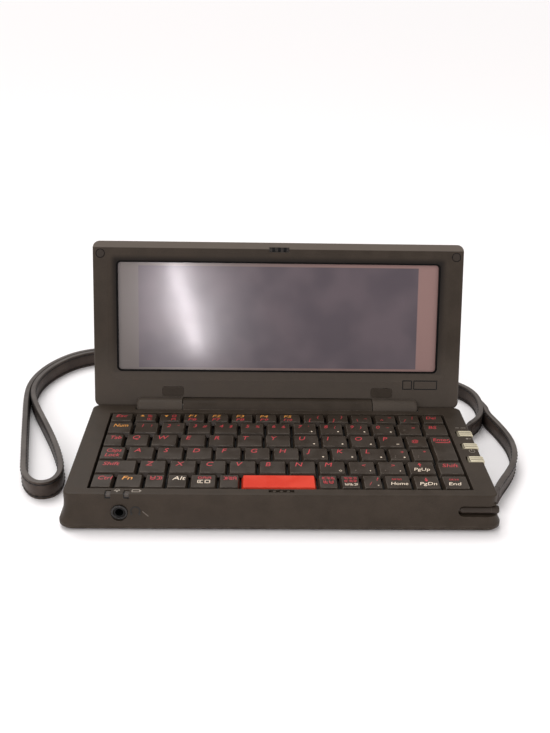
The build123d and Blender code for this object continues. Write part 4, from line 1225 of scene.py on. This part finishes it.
# %% Button ribs
RIB_COUNT = 3
RIB_WIDE = 1.05 * MM
RIB_GAP = 0.5 * MM
RIB_RISE = 0.15 * MM
RIB_SHIFT = 0.2 * MM
RIB_FOOT = 3.8 * MM
RIB_ROUND = 0.13 * MM
GROOVE_SHADE_RISE = 0.04 * MM
GROOVE_SHADE_ROUND = 0.03 * MM
# Dark strips of painted shade lie in the grooves and in the gap at each button's inner end.
BUTTON_GROOVE_SHADE = ink("button_groove_painted_shade", (70, 60, 46), (96, 86, 68))


def rounded_bars(name, bars, rounding, material, body):
    """A piece of rounded bars, each given by its middle and its size in metres."""
    shape = bmesh.new()
    made = []
    for middle, size in bars:
        new = bmesh.ops.create_cube(
            shape, size=1.0, matrix=Matrix.Translation(middle) @ Matrix.Diagonal((*size, 1.0)))
        made += [e for v in new["verts"] for e in v.link_edges]
    round_off(shape, list(set(made)), rounding, 2)
    make_piece(name, shape, [material], body)


def button_ribs(name):
    """Ivory ribs along the top and the outer face of a side button, with painted shade in the
    grooves between them and in the gap at the inner end.
    """
    low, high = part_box(name)
    middle = (low + high) / 2
    length = high.x - low.x - 0.9 * MM
    ribs, grooves = [], []
    for i in range(RIB_COUNT):
        y = middle.y + (i - (RIB_COUNT - 1) / 2) * (RIB_WIDE + RIB_GAP)
        ribs.append(((middle.x + RIB_SHIFT, y, high.z), (length, RIB_WIDE, 2 * RIB_RISE)))
        ribs.append(((high.x, y, high.z - 2.0 * MM), (2 * RIB_RISE, RIB_WIDE, RIB_FOOT)))
    for side in (-1, 1):
        y = middle.y + side * (RIB_WIDE + RIB_GAP) / 2
        grooves.append(((middle.x + RIB_SHIFT, y, high.z),
                        (length - 0.4 * MM, RIB_GAP, 2 * GROOVE_SHADE_RISE)))
    grooves.append(((low.x + 0.25 * MM, middle.y, high.z),
                    (0.45 * MM, high.y - low.y - 0.2 * MM, 2 * GROOVE_SHADE_RISE)))
    rounded_bars(f"{name}_ribs", ribs, RIB_ROUND, finishes["ivory_plastic"], f"{name}_body")
    rounded_bars(f"{name}_grooves", grooves, GROOVE_SHADE_ROUND, BUTTON_GROOVE_SHADE, f"{name}_body")


for name in ("rear_side_button", "middle_side_button", "front_side_button"):
    button_ribs(name)

# %% [markdown]
# ## Trim on the lid
# A thin black gasket lines the window, so that no light shows between the bezel and the
# touch panel. Each bumper sits in a black ring that is painted shadow, and a blank
# nameplate lies under the window at the right. All are frames with rounded corners, so one
# function makes them: a square sheet has its corners rounded, its middle cut out and its
# rim raised.

# %% Lid trim
def rounded_frame(wide, high, corner, band, low, top, x, y, ground=lid_place):
    """A rounded frame at x and y, standing from low to top over the ground, in metres."""
    shape = bmesh.new()
    bmesh.ops.create_grid(shape, x_segments=1, y_segments=1, size=0.5)
    bmesh.ops.scale(shape, vec=(wide, high, 1.0), verts=shape.verts)
    round_off(shape, shape.verts[:], corner, 8, "VERTICES")
    bmesh.ops.inset_individual(shape, faces=shape.faces[:], thickness=band,
                               use_even_offset=True)
    middle = max(shape.faces, key=lambda face: len(face.verts))
    bmesh.ops.delete(shape, geom=[middle], context="FACES")
    raised = bmesh.ops.extrude_face_region(shape, geom=shape.faces[:])
    verts = [v for v in raised["geom"] if isinstance(v, bmesh.types.BMVert)]
    bmesh.ops.translate(shape, vec=(0.0, 0.0, top - low), verts=verts)
    bmesh.ops.transform(shape, matrix=ground @ Matrix.Translation((x, y, low)),
                        verts=shape.verts)
    return shape


BEZEL_FACE = -1.5 * MM
BEZEL_SUNK = BEZEL_FACE - 0.1 * MM
GASKET_BAND = 0.8 * MM
GASKET_CORNER = 2.4 * MM
GASKET_PLAY = 0.02 * MM
gasket = rubber("gasket_rubber_finish", (7, 6, 6), (14, 12, 12), 0.7, 0.1)
shape = rounded_frame(2 * (WINDOW_HALF + GASKET_PLAY), WINDOW_HIGH - WINDOW_LOW + 2 * GASKET_PLAY,
                      GASKET_CORNER, GASKET_BAND, panel_front - GASKET_PLAY,
                      BEZEL_FACE - 0.7 * MM, 0.0, (WINDOW_LOW + WINDOW_HIGH) / 2)
make_piece("window_gasket", shape, [gasket], "lid")

BUMPER_RADIUS = 1.9 * MM
RING_RADIUS = 2.25 * MM
bumper_low, bumper_high = lid_extent("lid_bumpers")
# The black ring round each bumper is painted shadow.
for side, name in ((-1, "left_bumper_shadow_ring"), (1, "right_bumper_shadow_ring")):
    shape = rounded_frame(2 * RING_RADIUS, 2 * RING_RADIUS, RING_RADIUS - 0.01 * MM, 0.45 * MM,
                          BEZEL_SUNK, BEZEL_FACE + 0.05 * MM,
                          side * (bumper_high.x - BUMPER_RADIUS),
                          (bumper_low.y + bumper_high.y) / 2)
    make_piece(name, shape, [gasket], "lid")

PLATE_MIDDLE = 12.1 * MM
PLATE_HIGH = 4.8 * MM
plate_line = plastic("nameplate_line_finish", (10, 8, 6), (17, 13, 11), (30, 25, 21),
                     0.3, 0.02, 0.5, 0.1)
for x, wide, name in ((66.3, 5.0, "nameplate_square"), (75.6, 12.2, "nameplate_panel")):
    shape = rounded_frame(wide * MM, PLATE_HIGH, 0.3 * MM, 0.5 * MM, BEZEL_SUNK,
                          BEZEL_FACE + 0.04 * MM, x * MM, PLATE_MIDDLE)
    make_piece(name, shape, [plate_line], "lid")

# %% [markdown]
# ## Floor and light
# The computer stands on a plain pale floor. Two large soft lamps light it: the main one
# high on the left and a fill on the right. A very wide sun from behind does the work of a
# bright ceiling and gives the soft shadow. One more lamp, long and narrow, does nothing
# but show as a slanting streak in the glossy screen. The lamps are hidden from the camera,
# so they never show in the other views. The world lights the object at half strength, but
# the camera sees it at full strength, so the floor melts into the background.

# %% Floor
FLOOR_SIZE = 60.0


def floor_finish():
    """Pale matte paper."""
    material, tree, shader, place = begin("floor_finish")
    fibre = noise(tree, place, 3.0, 4.0)
    feed(tree, shader, blend_colours(tree, fibre, (252, 249, 249), (255, 252, 252)), 0.75)
    return material


floor_shape = bmesh.new()
bmesh.ops.create_grid(floor_shape, x_segments=1, y_segments=1, size=FLOOR_SIZE / 2)
floor_mesh = bpy.data.meshes.new("floor")
floor_shape.to_mesh(floor_mesh)
floor_shape.free()
floor_mesh.materials.append(floor_finish())
add_object("floor", floor_mesh)

# %% Lamps
def soft_lamp(name, place, target, wide, high, power, tilt=0.0, tint=(1.0, 1.0, 1.0)):
    """A rectangular lamp that faces a target."""
    data = bpy.data.lights.new(name, "AREA")
    data.shape = "RECTANGLE"
    data.size = wide
    data.size_y = high
    data.energy = power
    data.color = tint
    lamp = add_object(name, data)
    facing = (Vector(target) - Vector(place)).to_track_quat("-Z", "Y").to_matrix().to_4x4()
    lamp.matrix_world = Matrix.Translation(place) @ facing @ Matrix.Rotation(tilt, 4, "Z")
    lamp.visible_camera = False


soft_lamp("main_lamp", (-0.6, -0.6, 0.65), (0.0, 0.0, 0.03), 0.6, 0.6, 3.0)
soft_lamp("fill_lamp", (0.7, -0.6, 0.5), (0.0, 0.0, 0.03), 0.8, 0.8, 2.2)
soft_lamp("streak_lamp", (-0.1, -0.639, 0.21), (-0.047, 0.044, 0.067), 0.012, 0.12, 0.48,
          math.radians(18), (1.0, 0.93, 0.97))

sky_data = bpy.data.lights.new("sky_light", "SUN")
sky_data.energy = 2.0
sky_data.angle = math.radians(40)
sky_light = add_object("sky_light", sky_data)
sky_light.matrix_world = Vector((-0.25, 0.5, 1.0)).to_track_quat("Z", "Y").to_matrix().to_4x4()

SKY_LIGHT = 0.46
world = bpy.data.worlds.new("studio")
world.use_nodes = True
sky_tree = world.node_tree
seen = new_node(sky_tree, "LightPath").outputs["Is Camera Ray"]
plug(sky_tree, sky_tree.nodes["Background"], Color=(1.0, 0.985, 0.98, 1.0),
     Strength=arithmetic(sky_tree, "ADD", SKY_LIGHT, product(sky_tree, seen, 1.0 - SKY_LIGHT)))
bpy.context.scene.world = world
bpy.context.scene.view_settings.view_transform = "Standard"
